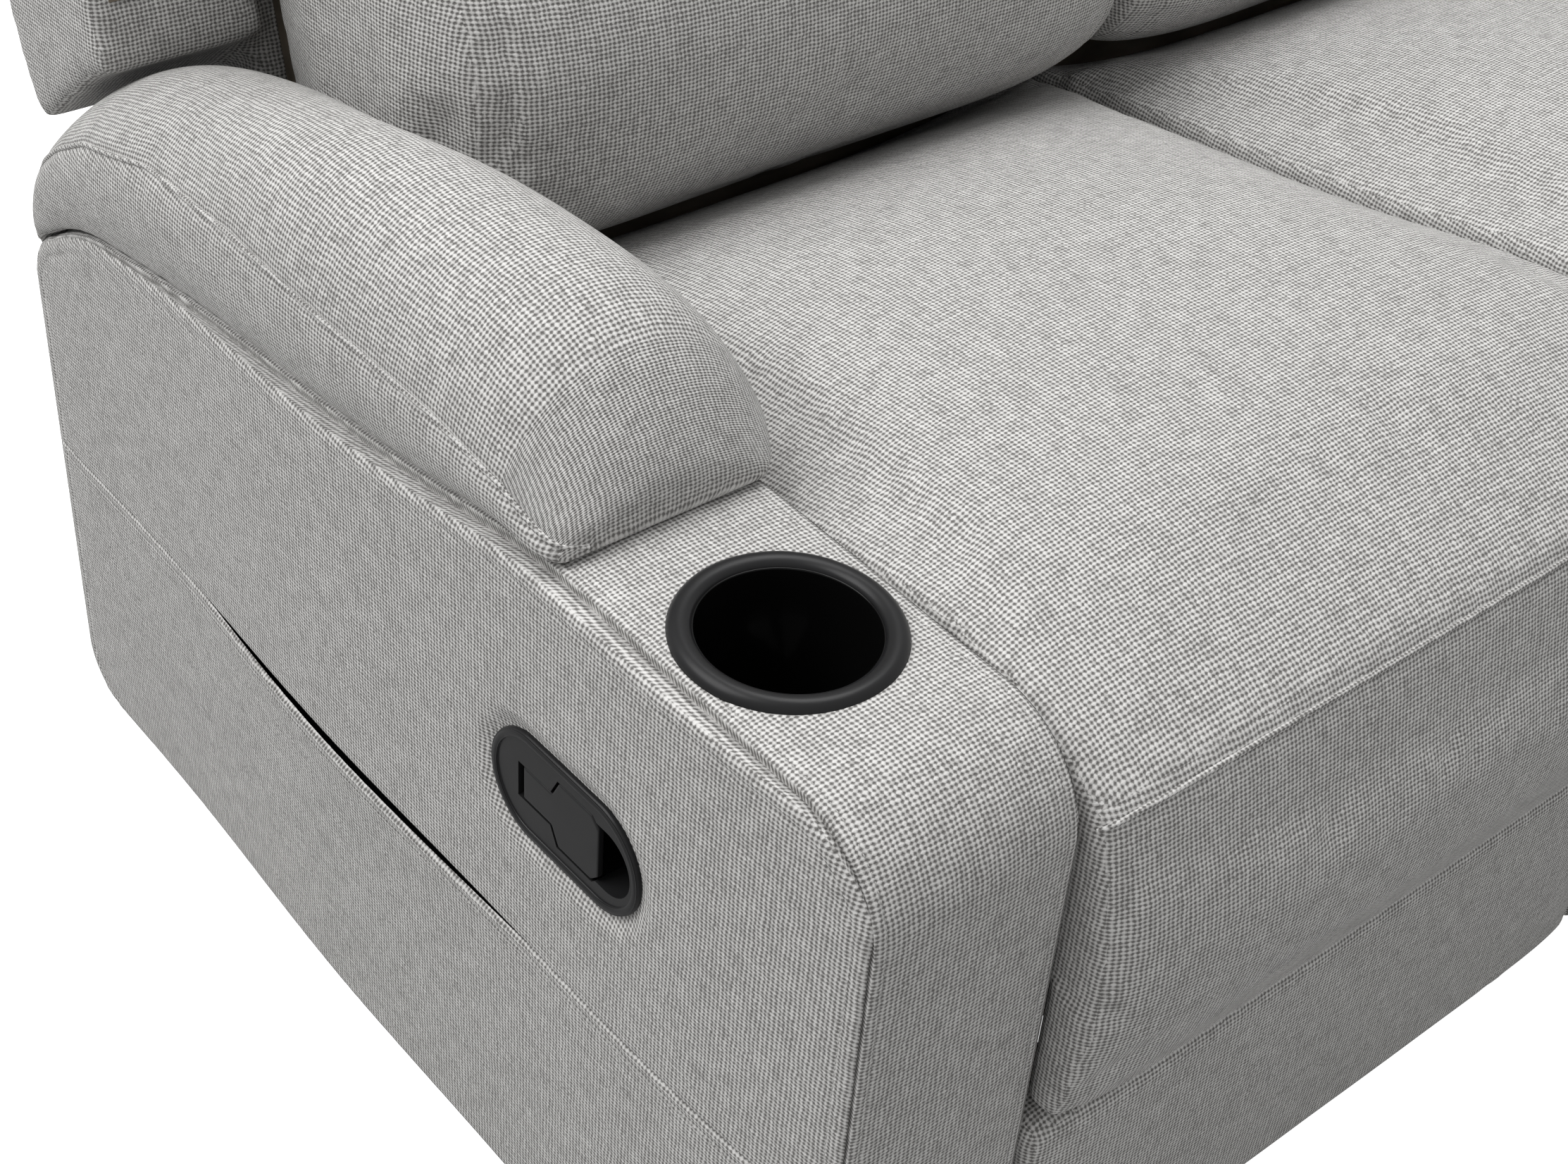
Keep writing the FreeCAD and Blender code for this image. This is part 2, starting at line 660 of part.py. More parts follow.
link_b = (link_p2[0] + (1.0 + link_reach) * (link_m[0] - link_p2[0]),
          link_p2[1] + (1.0 + link_reach) * (link_m[1] - link_p2[1]))


def seat_plate(x):
    """Side plate of the moving seat: it carries both cranks and the recline hinge."""
    x0 = x + layer(0)
    start = (104.0, 262.0)
    moves = [((104.0, deck_z1 - 6.0),), ((hinge_y + 4.0, deck_z1 - 6.0),),
             ((hinge_y + 18.0, 356.0), (hinge_y + 22.0, hinge_z)),
             ((hinge_y + 14.0, hinge_z - 18.0), (hinge_y - 6.0, hinge_z - 24.0)),
             ((slide_y[1] + 24.0, slide_z - 18.0),), ((slide_y[0] - 18.0, slide_z - 18.0),),
             ((170.0, 262.0),)]
    plate = Part.Face(side_wire(x0, start, moves)).extrude(V(link_thick, 0, 0))
    pins = [rod((x + base_plate_s - 2.0, y, slide_z), (1, 0, 0), slide_r, layer(0) + 1.0 - base_plate_s + 2.0)
            for y in slide_y]
    pins += [pin_through(x, link_p1, 0, 1), pin_through(x, link_p2, 0, 3)]
    pins += [pin_through(x, (hinge_y, hinge_z), 0, 1, hinge_r)]
    return union(plate, *pins)


def rear_crank(x):
    shape = bar(x + layer(1), link_thick, [link_p1, link_a], link_wide)
    pin = rod((x + layer(1), link_a[0], link_a[1]), (1, 0, 0), open_r, link_pitch + link_thick - 0.5)
    return union(shape.cut(hole_at(x, link_p1, 1)), pin)


def long_link(x):
    shape = bar(x + layer(2), link_thick, [link_a, link_m, link_c], link_wide)
    shape = shape.cut([hole_at(x, link_a, 2, slot_a, open_r), hole_at(x, link_m, 2)])
    return union(shape, pin_through(x, link_c, 2, 3))


def front_crank(x):
    shape = bar(x + layer(3), link_thick, [link_p2, link_m, link_b], link_wide)
    shape = shape.cut(hole_at(x, link_p2, 3))
    pin_m = rod((x + layer(2) + 0.2, link_m[0], link_m[1]), (1, 0, 0), rivet_r, link_pitch)
    return union(shape, pin_m, pin_through(x, link_b, 3, 4))


def short_link(x):
    shape = bar(x + layer(4), link_thick, [link_b, link_d], link_wide)
    return shape.cut([hole_at(x, link_b, 4), hole_at(x, link_d, 4, slot_d, open_r)])


def bracket(x):
    """Footrest bracket: a plate at the pivots, with a flange on the board."""
    x0 = x + layer(3)
    plate = bar(x0, link_thick, [link_c, link_d], link_wide)
    web = block(x0, x0 + link_thick, panel_y1, link_c[0], link_d[1] - 11.0, link_c[1] + 6.0)
    flange = block(x0 - 18.0, x0, panel_y1, panel_y1 + 2.5, link_d[1] - 11.0, link_c[1] + 6.0)
    shape = union(plate, web, flange).cut(hole_at(x, link_c, 3))
    pin = rod((x0 + 1.0, link_d[0], link_d[1]), (1, 0, 0), open_r, link_pitch + link_thick - 1.3)
    return union(shape, pin)


def base_plate(x):
    """Fixed side plate that stands on the two beams and guides the seat's rollers."""
    x0 = x + base_plate_s
    x1 = x0 + base_plate_thick
    top = slide_z + 26.0
    low, rear = floor_gap + rail_high, rear_beam_y + beam_deep
    plate = prism(x0, x1, (front_beam_y, low), [
        ((front_beam_y, top),), ((slide_y[1] + 22.0, top),), ((hinge_y, low + 110.0),),
        ((rear, low + 110.0),), ((rear, low),)])
    for y in slide_y:
        plate = plate.cut(slot(x0 - 1.0, x1 + 1.0, y, slide_z, slide_r + fit, slide_travel))
    feet = [block(x0, x0 + 30.0, y, y + beam_deep, floor_gap + rail_high, floor_gap + rail_high + 3.0)
            for y in (front_beam_y, rear_beam_y)]
    return union(plate, *feet)


def beams():
    """The two long rails that the seats stand on."""
    return [block(-arm_in, arm_in, y, y + beam_deep, floor_gap, floor_gap + rail_high)
            for y in (front_beam_y, rear_beam_y)]


def feet():
    places = [(arm_x(arm_width / 2.0), y) for y in foot_y]
    places += [(joint_x[1], y + beam_deep / 2.0) for y in (front_beam_y, rear_beam_y)]
    out = [Part.makeCone(foot_r - 5.0, foot_r, floor_gap, V(x, y, 0)) for x, y in places]
    return out + [mirrored(f) for f in out]


def middle_side(x):
    """Side board of the fixed seat, from the beams up to its back."""
    x0 = x + side_gap + 1.0
    low = floor_gap + rail_high
    rear = rear_beam_y + beam_deep
    board_outline = [(panel_y1, front_rail_z0), (front_rail_y0, front_rail_z0), (front_rail_y0, deck_z1),
                     (hinge_y - 24.0, deck_z1), back_point(110.0, 12.0), back_point(110.0, -12.0),
                     back_point(0.0, -12.0), (hinge_y + 11.6, 290.0), (rear, 290.0), (rear, low)]
    return prism(x0, x0 + side_board, (panel_y1, low), [(p,) for p in board_outline])


def middle_seat():
    x0 = joint_x[1] + side_gap + 1.0 + side_board
    x1 = -x0
    rails = [block(x0, x1, front_rail_y0, front_rail_y0 + rail, front_rail_z0, deck_z1),
             block(x0, x1, rear_rail_y1 - rail, rear_rail_y1, deck_z0, deck_z1),
             block(x0, x1, panel_y1, panel_y1 + rail, floor_gap + rail_high, floor_gap + 2.0 * rail_high)]
    put("middle_frame", *sides(0.0, middle_side), *rails, back_frame_at(0.0), panel_board_at(0.0))
    put("middle_springs", *spring_wires(0.0, front_rail_y0 + 8.0, rear_rail_y1 - 8.0, deck_z1 + wire_r))
    put("middle_seat_cushion", seat_cushion_at(0.0))
    put("middle_lumbar_cushion", lumbar_at(0.0))
    put("middle_headrest", headrest_at(0.0))
    put("middle_back_cover", back_cover_at(0.0))
    put("middle_front_panel", panel_pad_at(0.0))


def rear_panel():
    """Padded board that closes the back below the moving backs."""
    y0 = rear_beam_y + beam_deep
    return block(-arm_in + side_gap, arm_in - side_gap, y0, y0 + rear_panel_thick, panel_z0, rear_panel_z1)


def make_recliner(x_mid):
    both("seat_cushion", seat_cushion_at(x_mid))
    both("seat_frame", seat_frame_at(x_mid), *sides(x_mid, seat_plate))
    both("seat_springs", *spring_wires(x_mid, front_rail_y0 + 8.0, rear_rail_y1 - 8.0, deck_z1 + wire_r))
    both("footrest_pad", panel_pad_at(x_mid))
    both("footrest_board", panel_board_at(x_mid), *sides(x_mid, bracket))
    cranks = sides(x_mid, front_crank)
    along = ((link_m[0] - link_p2[0]) * 0.36, (link_m[1] - link_p2[1]) * 0.36)
    x0 = x_mid - seat_width / 2.0 + layer(3) + link_thick
    tube = rod((x0, link_p2[0] + along[0], link_p2[1] + along[1]), (1, 0, 0), tube_r, 2.0 * (x_mid - x0))
    both("front_crank", *cranks, tube)
    both("rear_crank", *sides(x_mid, rear_crank))
    both("long_link", *sides(x_mid, long_link))
    both("short_link", *sides(x_mid, short_link))
    plates = sides(x_mid, base_plate)
    x0 = x_mid - seat_width / 2.0 + base_plate_s + base_plate_thick
    tie = block(x0, 2.0 * x_mid - x0, 470.0, 495.0, floor_gap + rail_high + 20.0, floor_gap + rail_high + 45.0)
    both("mechanism_base", *plates, tie)


# Backs
def back_point(v, w):
    """A place on the back: v up along it from the hinge, w out to the front."""
    return (hinge_y + v * math.sin(lean) - w * math.cos(lean), hinge_z + v * math.cos(lean) + w * math.sin(lean))


def back_board(x0, x1, v0, v1, w0, w1):
    corners = [back_point(v0, w0), back_point(v1, w0), back_point(v1, w1), back_point(v0, w1)]
    return prism(x0, x1, corners[0], [(c,) for c in corners[1:]])


def back_bracket(x):
    x0 = x + layer(1)
    shape = bar(x0, link_thick, [(hinge_y, hinge_z), back_point(150.0, 0.0)], 2.0 * 12.0)
    return shape.cut(hole_at(x, (hinge_y, hinge_z), 1, fit, hinge_r))


def back_frame_at(x_mid):
    w = frame_thick / 2.0
    x0 = x_mid - seat_width / 2.0 + layer(1) + link_thick
    x1 = 2.0 * x_mid - x0
    step = (x1 - x0 - rail) / 3.0
    stiles = [back_board(x0 + i * step, x0 + i * step + rail, back_low, back_high, -w, w) for i in range(4)]
    rails = [back_board(x0 + 1.0, x1 - 1.0, v, v + high, -w, w)
             for v, high in ((back_low, 60.0), (270.0, 30.0), (460.0, 30.0), (back_high - 60.0, 60.0))]
    return union(*stiles, *rails, back_board(x0, x1, back_low, back_high, -w - panel_thick, -w))


def back_crease(y, gap):
    """Height of the line where the two back cushions meet."""
    return 780.0 - 0.191 * (y - 604.0) + gap


def lumbar_at(x_mid):
    half = seat_width / 2.0 - side_gap
    wires = []
    for share, rise, pull in stations():
        thin = lumbar_draw * (1.0 - rise) ** 2.0
        small = 0.35 * thin
        base = back_point(150.0 + small, 12.5)
        wires.append(side_wire(x_mid + share * half, base, [
            ((612.0, 479.0 + small),),
            ((524.0 + 0.7 * thin, 515.0 + 0.3 * thin), (503.0 + thin, 586.0)),
            ((513.0 + thin, 672.0), (566.0 + 0.8 * thin, 744.0 - small)),
            ((582.0 + 0.7 * thin, 765.0 - small), (604.0 + 0.5 * thin, back_crease(604.0, -small))),
            (back_point(423.6 - 1.02 * small, 12.5),)]))
    return loft(wires)


def headrest_at(x_mid):
    half = seat_width / 2.0 - side_gap
    wires = []
    for share, rise, pull in stations():
        thin = headrest_draw * (1.0 - rise) ** 2.0
        small = 0.4 * thin
        base = back_point(425.2 + 1.02 * small, 12.5)
        top = sofa_height - small
        x = x_mid + share * half
        wires.append(side_wire(x, base, [
            ((618.0 + 0.5 * thin, back_crease(618.0, 0.6 + small)),),
            ((603.0 + thin, 801.0 + small), (608.0 + thin, 834.0)),
            ((630.0 + thin, 908.0), (690.0 + 0.8 * thin, 962.0 - small)),
            ((740.0, top - 13.0), (800.0, top)),
            ((826.0, top - 3.0), (845.0, top - 12.4)),
            (back_point(647.0, -15.0),),
            (back_point(640.6, 12.5),)]))
    return loft(wires)


def back_profile():
    """Side outline of the back body behind the frame."""
    w = -frame_thick / 2.0 - panel_thick - 0.5
    start = back_point(30.0, w)
    return start, [(back_point(648.0, w),), ((846.2, 984.2),), ((900.0, 976.0), (928.0, 930.0)),
                   ((934.0, 880.0), (930.0, 820.0)), ((916.0, 680.0), (884.0, 560.0)),
                   ((858.0, 470.0), (836.0, 390.0)), ((826.0, 350.0), (814.0, cover_z0 + 10.0)),
                   ((810.0, cover_z0 + 2.0), (800.0, cover_z0)), ((742.0, cover_z0),)]


def back_cover_at(x_mid):
    x0, x1 = x_mid - seat_width / 2.0 + side_gap, x_mid + seat_width / 2.0 - side_gap
    return prism(x0, x1, *back_profile())


def wing_at():
    """The part of an end back that stands out over the arm."""
    x0, x1 = arm_x(wing_a), -arm_in + side_gap
    start = (755.0, 580.0)
    moves = [((782.0, 565.0), (806.0, 545.0)), ((828.0, 527.0), (846.0, 512.0)),
             ((862.0, 512.0), (868.0, 524.0)), ((884.0, 566.0), (892.0, 600.0)),
             ((916.0, 706.0), (930.0, 820.0)), ((934.0, 880.0), (928.0, 930.0)),
             ((900.0, 976.0), (850.0, 982.0)), ((830.0, 976.0), (820.0, 950.0)), ((776.0, 760.0),)]
    return prism(x0, x1, start, moves)


def wing_board():
    """Plywood that carries the wing, fixed to the back frame."""
    w = frame_thick / 2.0
    x0 = joint_x[0] + layer(1) + link_thick
    return back_board(arm_x(wing_a + 14.0), x0, 300.0, back_high - 30.0, -w, w)


def make_end_back(x_mid):
    frame, carrier = back_frame_at(x_mid), wing_board()
    both("lumbar_cushion", lumbar_at(x_mid))
    both("headrest", headrest_at(x_mid))
    both("back_frame", frame, carrier, *sides(x_mid, back_bracket))
    both("back_cover", back_cover_at(x_mid), wing_at().cut([frame, carrier]))


make_arm()
make_handle()
make_cable()
make_recliner(-seat_width)
make_end_back(-seat_width)
middle_seat()
put("base_beams", *beams())
put("feet", *feet())
put("rear_panel", rear_panel())

for name, shape in pieces.items():
    shape.exportStep("parts/%s.step" % name)
    bad = [s for s in shape.Solids if not s.isValid()]
    print("%-24s solids %d volume %.0f%s" % (name, len(shape.Solids), shape.Volume, " BAD" if bad else ""))
whole = Part.makeCompound(list(pieces.values())).BoundBox
print("box x %.1f %.1f y %.1f %.1f z %.1f %.1f"
      % (whole.XMin, whole.XMax, whole.YMin, whole.YMax, whole.ZMin, whole.ZMax))
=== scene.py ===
"""Looks of the reclining sofa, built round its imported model.

Lengths are in metres, in the model's frame: +Y is the back, +Z is up, and the
left end is the viewer's left. Pieces of the left end are made first and then
mirrored to the right end.
"""
import json
import math
import bmesh
import bpy
from mathutils import Matrix, Vector, geometry, noise
from mathutils.bvhtree import BVHTree
from mathutils.kdtree import KDTree


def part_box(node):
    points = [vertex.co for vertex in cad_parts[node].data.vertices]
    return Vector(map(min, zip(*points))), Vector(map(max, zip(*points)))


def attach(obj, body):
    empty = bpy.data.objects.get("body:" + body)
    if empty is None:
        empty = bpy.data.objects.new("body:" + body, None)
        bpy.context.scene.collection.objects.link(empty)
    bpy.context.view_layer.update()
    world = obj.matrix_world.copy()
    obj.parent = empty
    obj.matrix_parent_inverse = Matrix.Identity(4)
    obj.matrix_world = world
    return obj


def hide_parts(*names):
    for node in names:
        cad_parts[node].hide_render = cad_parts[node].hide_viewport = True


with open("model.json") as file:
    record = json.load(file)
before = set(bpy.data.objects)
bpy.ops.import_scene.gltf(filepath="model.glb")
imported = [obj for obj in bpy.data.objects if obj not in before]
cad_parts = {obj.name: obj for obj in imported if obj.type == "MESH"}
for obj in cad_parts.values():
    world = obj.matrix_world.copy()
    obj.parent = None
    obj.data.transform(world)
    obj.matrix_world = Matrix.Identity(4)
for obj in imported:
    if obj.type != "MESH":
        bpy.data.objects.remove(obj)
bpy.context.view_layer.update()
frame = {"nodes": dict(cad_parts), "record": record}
nodes = frame["nodes"]

# Arm, measured from its outer seam and its front face
strip_low, strip_high = [Vector(corner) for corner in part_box("arm_strip_left")]
arm_width = 0.135
arm_seam = strip_low.x - 0.003
arm_front, arm_rear = strip_low.y, strip_high.y
arm_depth = arm_rear - arm_front
arm_bottom = strip_low.z
heel_round = 0.040
front_height = 0.529
strip_slope = math.radians(1.6)
nose_radius = 0.064
pocket_z = 0.268
pocket_open = 0.004
pocket_ends = (0.250, 0.640)
pocket_push = 0.0040            # how far the gaping pocket stands out in its middle
strip_stitch = 0.0085           # from the strip's edges to its topstitching
panel_stitch = 0.0125           # from the outer seam to the topstitching on the side
hem_stitch = 0.008              # from the pocket's hem to its topstitching
thread_lift = 0.0003            # from the fabric to the middle of a stitch
welt_radius = 0.0017
tuck = 0.012                    # how far a hidden edge is folded in

# Cup holder and handle
cup_place = (0.066, 0.1455)
handle_place = (0.224, 0.388)
bezel_size = (0.130, 0.0706)
bezel_seat = 0.008

# Camera, solved from the photograph
camera_place = Vector((-1.5446, -0.9577, 1.2701))
camera_heading, camera_drop, camera_roll = 0.74810, 0.66682, -0.08650
camera_lens = 54.84


def arm_point(a, y, z):
    """A place in the left arm, a inward from its outer seam and y back from its front."""
    return Vector((arm_seam + a, arm_front + y, z))


# Shader building
class Field:
    """A shader socket that takes Python's operators."""

    def __init__(self, paint, socket):
        self.paint, self.socket = paint, socket

    def maths(self, operation, *others):
        return self.paint.maths(operation, self, *others)

    def __add__(self, other):
        return self.maths("ADD", other)

    def __sub__(self, other):
        return self.maths("SUBTRACT", other)

    def __mul__(self, other):
        return self.maths("MULTIPLY", other)

    def __truediv__(self, other):
        return self.maths("DIVIDE", other)

    def __pow__(self, other):
        return self.maths("POWER", other)

    def __rsub__(self, other):
        return self.paint.maths("SUBTRACT", other, self)

    __radd__, __rmul__ = __add__, __mul__


class Paint:
    """A node material for one finish."""

    def __init__(self, name):
        self.material = bpy.data.materials.new(name)
        self.material.use_nodes = True
        self.tree = self.material.node_tree
        self.tree.nodes.clear()

    def node(self, kind, settings=(), sockets=(), output=0):
        made = self.tree.nodes.new("ShaderNode" + kind)
        for key, value in dict(settings).items():
            setattr(made, key, value)
        for key, value in dict(sockets).items():
            if isinstance(value, Field):
                self.tree.links.new(value.socket, made.inputs[key])
            else:
                made.inputs[key].default_value = value
        return Field(self, made.outputs[output])

    def maths(self, operation, *values):
        return self.node("Math", {"operation": operation}, dict(enumerate(values)))

    def blend(self, share, first, second):
        return self.node("Mix", {"data_type": "RGBA"}, {0: share, 6: first, 7: second}, 2)

    def noise(self, place, scale, detail=2.0, rough=0.5):
        sockets = {"Vector": place, "Scale": scale, "Detail": detail, "Roughness": rough}
        return self.node("TexNoise", {}, sockets)

    def bump(self, height, strength, distance):
        return self.node("Bump", {}, {"Height": height, "Strength": strength, "Distance": distance})

    def surface(self, **sockets):
        names = {key.replace("_", " "): value for key, value in sockets.items()}
        shader = self.node("BsdfPrincipled", {}, names)
        out = self.tree.nodes.new("ShaderNodeOutputMaterial")
        self.tree.links.new(shader.socket, out.inputs["Surface"])
        return self.material


def colour(red, green, blue):
    return (red, green, blue, 1.0)


def basket_weave(name, light, dark, pitch, bump=0.55):
    """Chunky plain weave of heathered yarn, laid along the piece's UV map in metres."""
    p = Paint(name)
    flat = p.node("UVMap")
    wander = p.noise(flat, 90.0, 1.0) - 0.5
    sway = 0.7
    split = {"Vector": flat}
    across = p.node("SeparateXYZ", {}, split, 0) / pitch[0] + wander * sway
    along = p.node("SeparateXYZ", {}, split, 1) / pitch[1] - wander * sway
    over = (across.maths("FLOOR") + along.maths("FLOOR")).maths("FLOORED_MODULO", 2.0)
    off_a = across.maths("FRACT") * 2.0 - 1.0
    off_b = along.maths("FRACT") * 2.0 - 1.0
    square_a, square_b = off_a * off_a, off_b * off_b
    warp = square_a * 0.95 + square_b * 0.45
    weft = square_b * 0.95 + square_a * 0.45
    gap = (square_a * square_b) ** 0.5
    edge_shade, gap_shade = 0.32, 0.95
    weave = 1.0 - (warp + (weft - warp) * over) * edge_shade - gap * gap_shade
    yarn_a = p.noise(p.node("CombineXYZ", {}, {"X": across * 0.9, "Y": along * 0.16}), 1.0, 1.0)
    yarn_b = p.noise(p.node("CombineXYZ", {}, {"X": across * 0.16, "Y": along * 0.9}), 1.0, 1.0)
    yarn = yarn_a + (yarn_b - yarn_a) * over
    fuzz = p.noise(flat, 2600.0, 2.0, 0.7)
    mottle = p.noise(flat, 16.0, 3.0, 0.6)
    tone = weave * 1.4 - 0.40 + (yarn - 0.5) * 1.3 + (fuzz - 0.5) * 0.7 + (mottle - 0.5) * 0.2
    tint = p.blend(tone.maths("MAXIMUM", 0.0).maths("MINIMUM", 1.0), dark, light)
    raised = p.bump(weave + fuzz * 0.4, bump, 0.0009)
    return p.surface(Base_Color=tint, Roughness=0.92, Normal=raised, Sheen_Weight=0.08, Sheen_Roughness=0.4)


def moulded(name, tone, roughness, grain, grain_bump, shine=0.5):
    """Moulded plastic with a fine grain."""
    p = Paint(name)
    place = p.node("TexCoord", {}, {}, 3)
    fine = p.noise(place, grain, 2.0, 0.6)
    patch = p.noise(place, 35.0, 3.0, 0.6)
    rough = roughness + (patch - 0.5) * 0.12
    return p.surface(Base_Color=tone, Roughness=rough, Normal=p.bump(fine, grain_bump, 0.0002),
                     Specular_IOR_Level=shine)


def timber(name, light, dark):
    """Plywood with its grain along X."""
    p = Paint(name)
    place = p.node("TexCoord", {}, {}, 3)
    stretched = p.node("Mapping", {}, {"Vector": place, "Scale": (2.0, 22.0, 22.0)})
    rings = p.node("TexWave", {}, {"Vector": stretched, "Scale": 1.3, "Distortion": 6.0, "Detail": 3.0}, 1)
    pores = p.noise(stretched, 30.0, 3.0, 0.7)
    return p.surface(Base_Color=p.blend(rings * 0.6 + pores * 0.4, dark, light), Roughness=0.62,
                     Normal=p.bump(pores, 0.15, 0.0004))


def steel(name, tone, roughness, metallic):
    """Painted or bare steel with fine specks and scuffs."""
    p = Paint(name)
    place = p.node("TexCoord", {}, {}, 3)
    speck = p.noise(place, 420.0, 3.0, 0.6)
    scuff = p.noise(place, 26.0, 4.0, 0.7)
    return p.surface(Base_Color=tone, Metallic=metallic, Roughness=roughness + (scuff - 0.5) * 0.25,
                     Normal=p.bump(speck, 0.12, 0.0002))


upholstery = basket_weave("upholstery", colour(0.62, 0.612, 0.598), colour(0.15, 0.145, 0.138),
                          (0.0030, 0.0026), 0.8)
# Stitch thread in the fabric's own grey, set a little darker as painted shade along the stitched lines
thread = moulded("thread", colour(0.36, 0.355, 0.345), 0.85, 900.0, 0.3)
lining = basket_weave("lining", colour(0.05, 0.05, 0.052), colour(0.015, 0.015, 0.016),
                      (0.0009, 0.0009), 0.3)
satin_black = moulded("satin_black", colour(0.012, 0.012, 0.0125), 0.34, 1500.0, 0.08, 0.2)
gloss_black = moulded("gloss_black", colour(0.003, 0.003, 0.003), 0.10, 900.0, 0.02, 0.16)
sleeve_black = moulded("sleeve_black", colour(0.02, 0.02, 0.02), 0.5, 2000.0, 0.1)
# Plywood frame boards: wood colour, darkened well below bare wood as painted shade so the frame seen between
# the cushions reads as shadow
plywood = timber("plywood", colour(0.22, 0.185, 0.145), colour(0.11, 0.09, 0.065))
black_steel = steel("black_steel", colour(0.03, 0.03, 0.033), 0.42, 0.3)
spring_steel = steel("spring_steel", colour(0.32, 0.32, 0.33), 0.34, 1.0)

finishes = {"upholstery": upholstery, "lining": lining, "plywood": plywood, "cup_plastic": gloss_black,
            "bezel_plastic": satin_black, "paddle_plastic": satin_black, "cable_sleeve": sleeve_black,
            "spring_wire": spring_steel, "link_steel": black_steel, "foot_plastic": satin_black}
slots = {part["node"]: part["material_slot"] for part in frame["record"]["subparts"]}
for node_name, solid in nodes.items():
    solid.data.materials.clear()
    solid.data.materials.append(finishes[slots[node_name]])


# Making pieces
def piece(name, shape, finish, slot, body, *stands_for):
    """A finished piece from a bmesh or a mesh."""
    mesh = shape
    if isinstance(shape, bmesh.types.BMesh):
        mesh = bpy.data.meshes.new(name)
        shape.to_mesh(mesh)
        shape.free()
    mesh.name = name
    mesh.materials.clear()
    mesh.materials.append(finish)
    mesh.shade_smooth()
    made = bpy.data.objects.new(name, mesh)
    bpy.context.collection.objects.link(made)
    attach(made, body)
    if stands_for:
        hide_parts(*stands_for)
    return made


def mirrored(source, name, slot, body, *stands_for):
    """The right end's copy of a left piece."""
    bm = bmesh.new()
    bm.from_mesh(source.data)
    bmesh.ops.scale(bm, vec=(-1.0, 1.0, 1.0), verts=bm.verts)
    bmesh.ops.reverse_faces(bm, faces=bm.faces)
    return piece(name, bm, source.data.materials[0], slot, body, *stands_for)


def pair(name, shape, finish, slot, bodies, *kinds, padded=None):
    """A left piece and its mirror image, each in place of the nodes of those kinds."""
    left = piece(name + "_left_look", shape, finish, slot, bodies[0], *[kind + "_left" for kind in kinds])
    right = mirrored(left, name + "_right_look", slot, bodies[1], *[kind + "_right" for kind in kinds])


root = ("frame", "frame")


def baked(made, *modifiers):
    """The mesh of a temporary object with modifiers applied, given as (kind, settings)."""
    for kind, settings in modifiers:
        added = made.modifiers.new(kind.lower(), kind)
        for key, value in settings.items():
            setattr(added, key, value)
    view = bpy.context.evaluated_depsgraph_get()
    mesh = bpy.data.meshes.new_from_object(made.evaluated_get(view))
    bpy.data.objects.remove(made)
    return mesh


def temporary(mesh):
    """An object for a mesh or curve that is only baked and removed."""
    made = bpy.data.objects.new("temporary", mesh)
    bpy.context.collection.objects.link(made)
    return made


def tree_of(*names):
    """One search tree over some CAD nodes."""
    bm = bmesh.new()
    for name in names:
        bm.from_mesh(nodes[name].data)
    tree = BVHTree.FromBMesh(bm)
    bm.free()
    return tree


def lay_weave(bm, wrap=None):
    """Lays the weave over each face along its flattest direction, or as wrap(face) tells, in metres."""
    layer = bm.loops.layers.uv.verify()
    for face in bm.faces:
        flat = wrap(face) if wrap else None
        if flat:
            for loop in face.loops:
                loop[layer].uv = flat(loop.vert.co)
            continue
        n = face.normal
        size = [abs(n.x), abs(n.y), abs(n.z)]
        drop = size.index(max(size))
        a, b = [(1, 2), (0, 2), (0, 1)][drop]
        for loop in face.loops:
            loop[layer].uv = (loop.vert.co[a], loop.vert.co[b])


def cushion(node, voxel, rounds):
    """A remeshed copy of a CAD solid with its edges rounded over, as a bmesh."""
    bm = bmesh.new()
    bm.from_mesh(nodes[node].data)
    bmesh.ops.remove_doubles(bm, verts=bm.verts, dist=0.00005)
    mesh = bpy.data.meshes.new("temporary")
    bm.to_mesh(mesh)
    bm.free()
    mesh = baked(temporary(mesh), ("REMESH", {"mode": "VOXEL", "voxel_size": voxel}))
    bm = bmesh.new()
    bm.from_mesh(mesh)
    smoothed(bm, rounds)
    return bm


def smoothed(bm, rounds):
    """Evens a mesh out, a few rounds over."""
    for _ in range(rounds):
        bmesh.ops.smooth_vert(bm, verts=bm.verts, factor=0.5,
                              use_axis_x=True, use_axis_y=True, use_axis_z=True)


def puffed(bm, pressure, reach, held):
    """The cover blown up as cloth from a slightly slack start, as a bmesh.

    Each point moves by reach at most, and points where held(place) is true are sewn fast.
    """
    slack, frames = 0.4, 20
    bm.normal_update()
    start = [vert.co.copy() for vert in bm.verts]
    for vert in bm.verts:
        vert.co -= vert.normal * slack * reach
    mesh = bpy.data.meshes.new("temporary")
    bm.to_mesh(mesh)
    bm.free()
    made = temporary(mesh)
    fast = made.vertex_groups.new(name="fast")
    fast.add([i for i, place in enumerate(start) if held(place)], 1.0, "REPLACE")
    cloth = made.modifiers.new("cloth", "CLOTH")
    cloth.settings.quality = 4
    cloth.settings.mass = 0.4
    cloth.settings.tension_stiffness = cloth.settings.compression_stiffness = 14.0
    cloth.settings.bending_stiffness = 1.5
    cloth.settings.use_pressure = True
    cloth.settings.uniform_pressure_force = pressure
    cloth.settings.effector_weights.gravity = 0.0
    cloth.settings.vertex_group_mass = "fast"
    cloth.point_cache.frame_start, cloth.point_cache.frame_end = 1, frames
    for step in range(1, frames + 1):
        bpy.context.scene.frame_set(step)
    mesh = baked(made)
    bpy.context.scene.frame_set(1)
    bm = bmesh.new()
    bm.from_mesh(mesh)
    for vert, place in zip(bm.verts, start):
        move = vert.co - place
        if move.length > reach:
            vert.co = place + move.normalized() * reach
    return bm


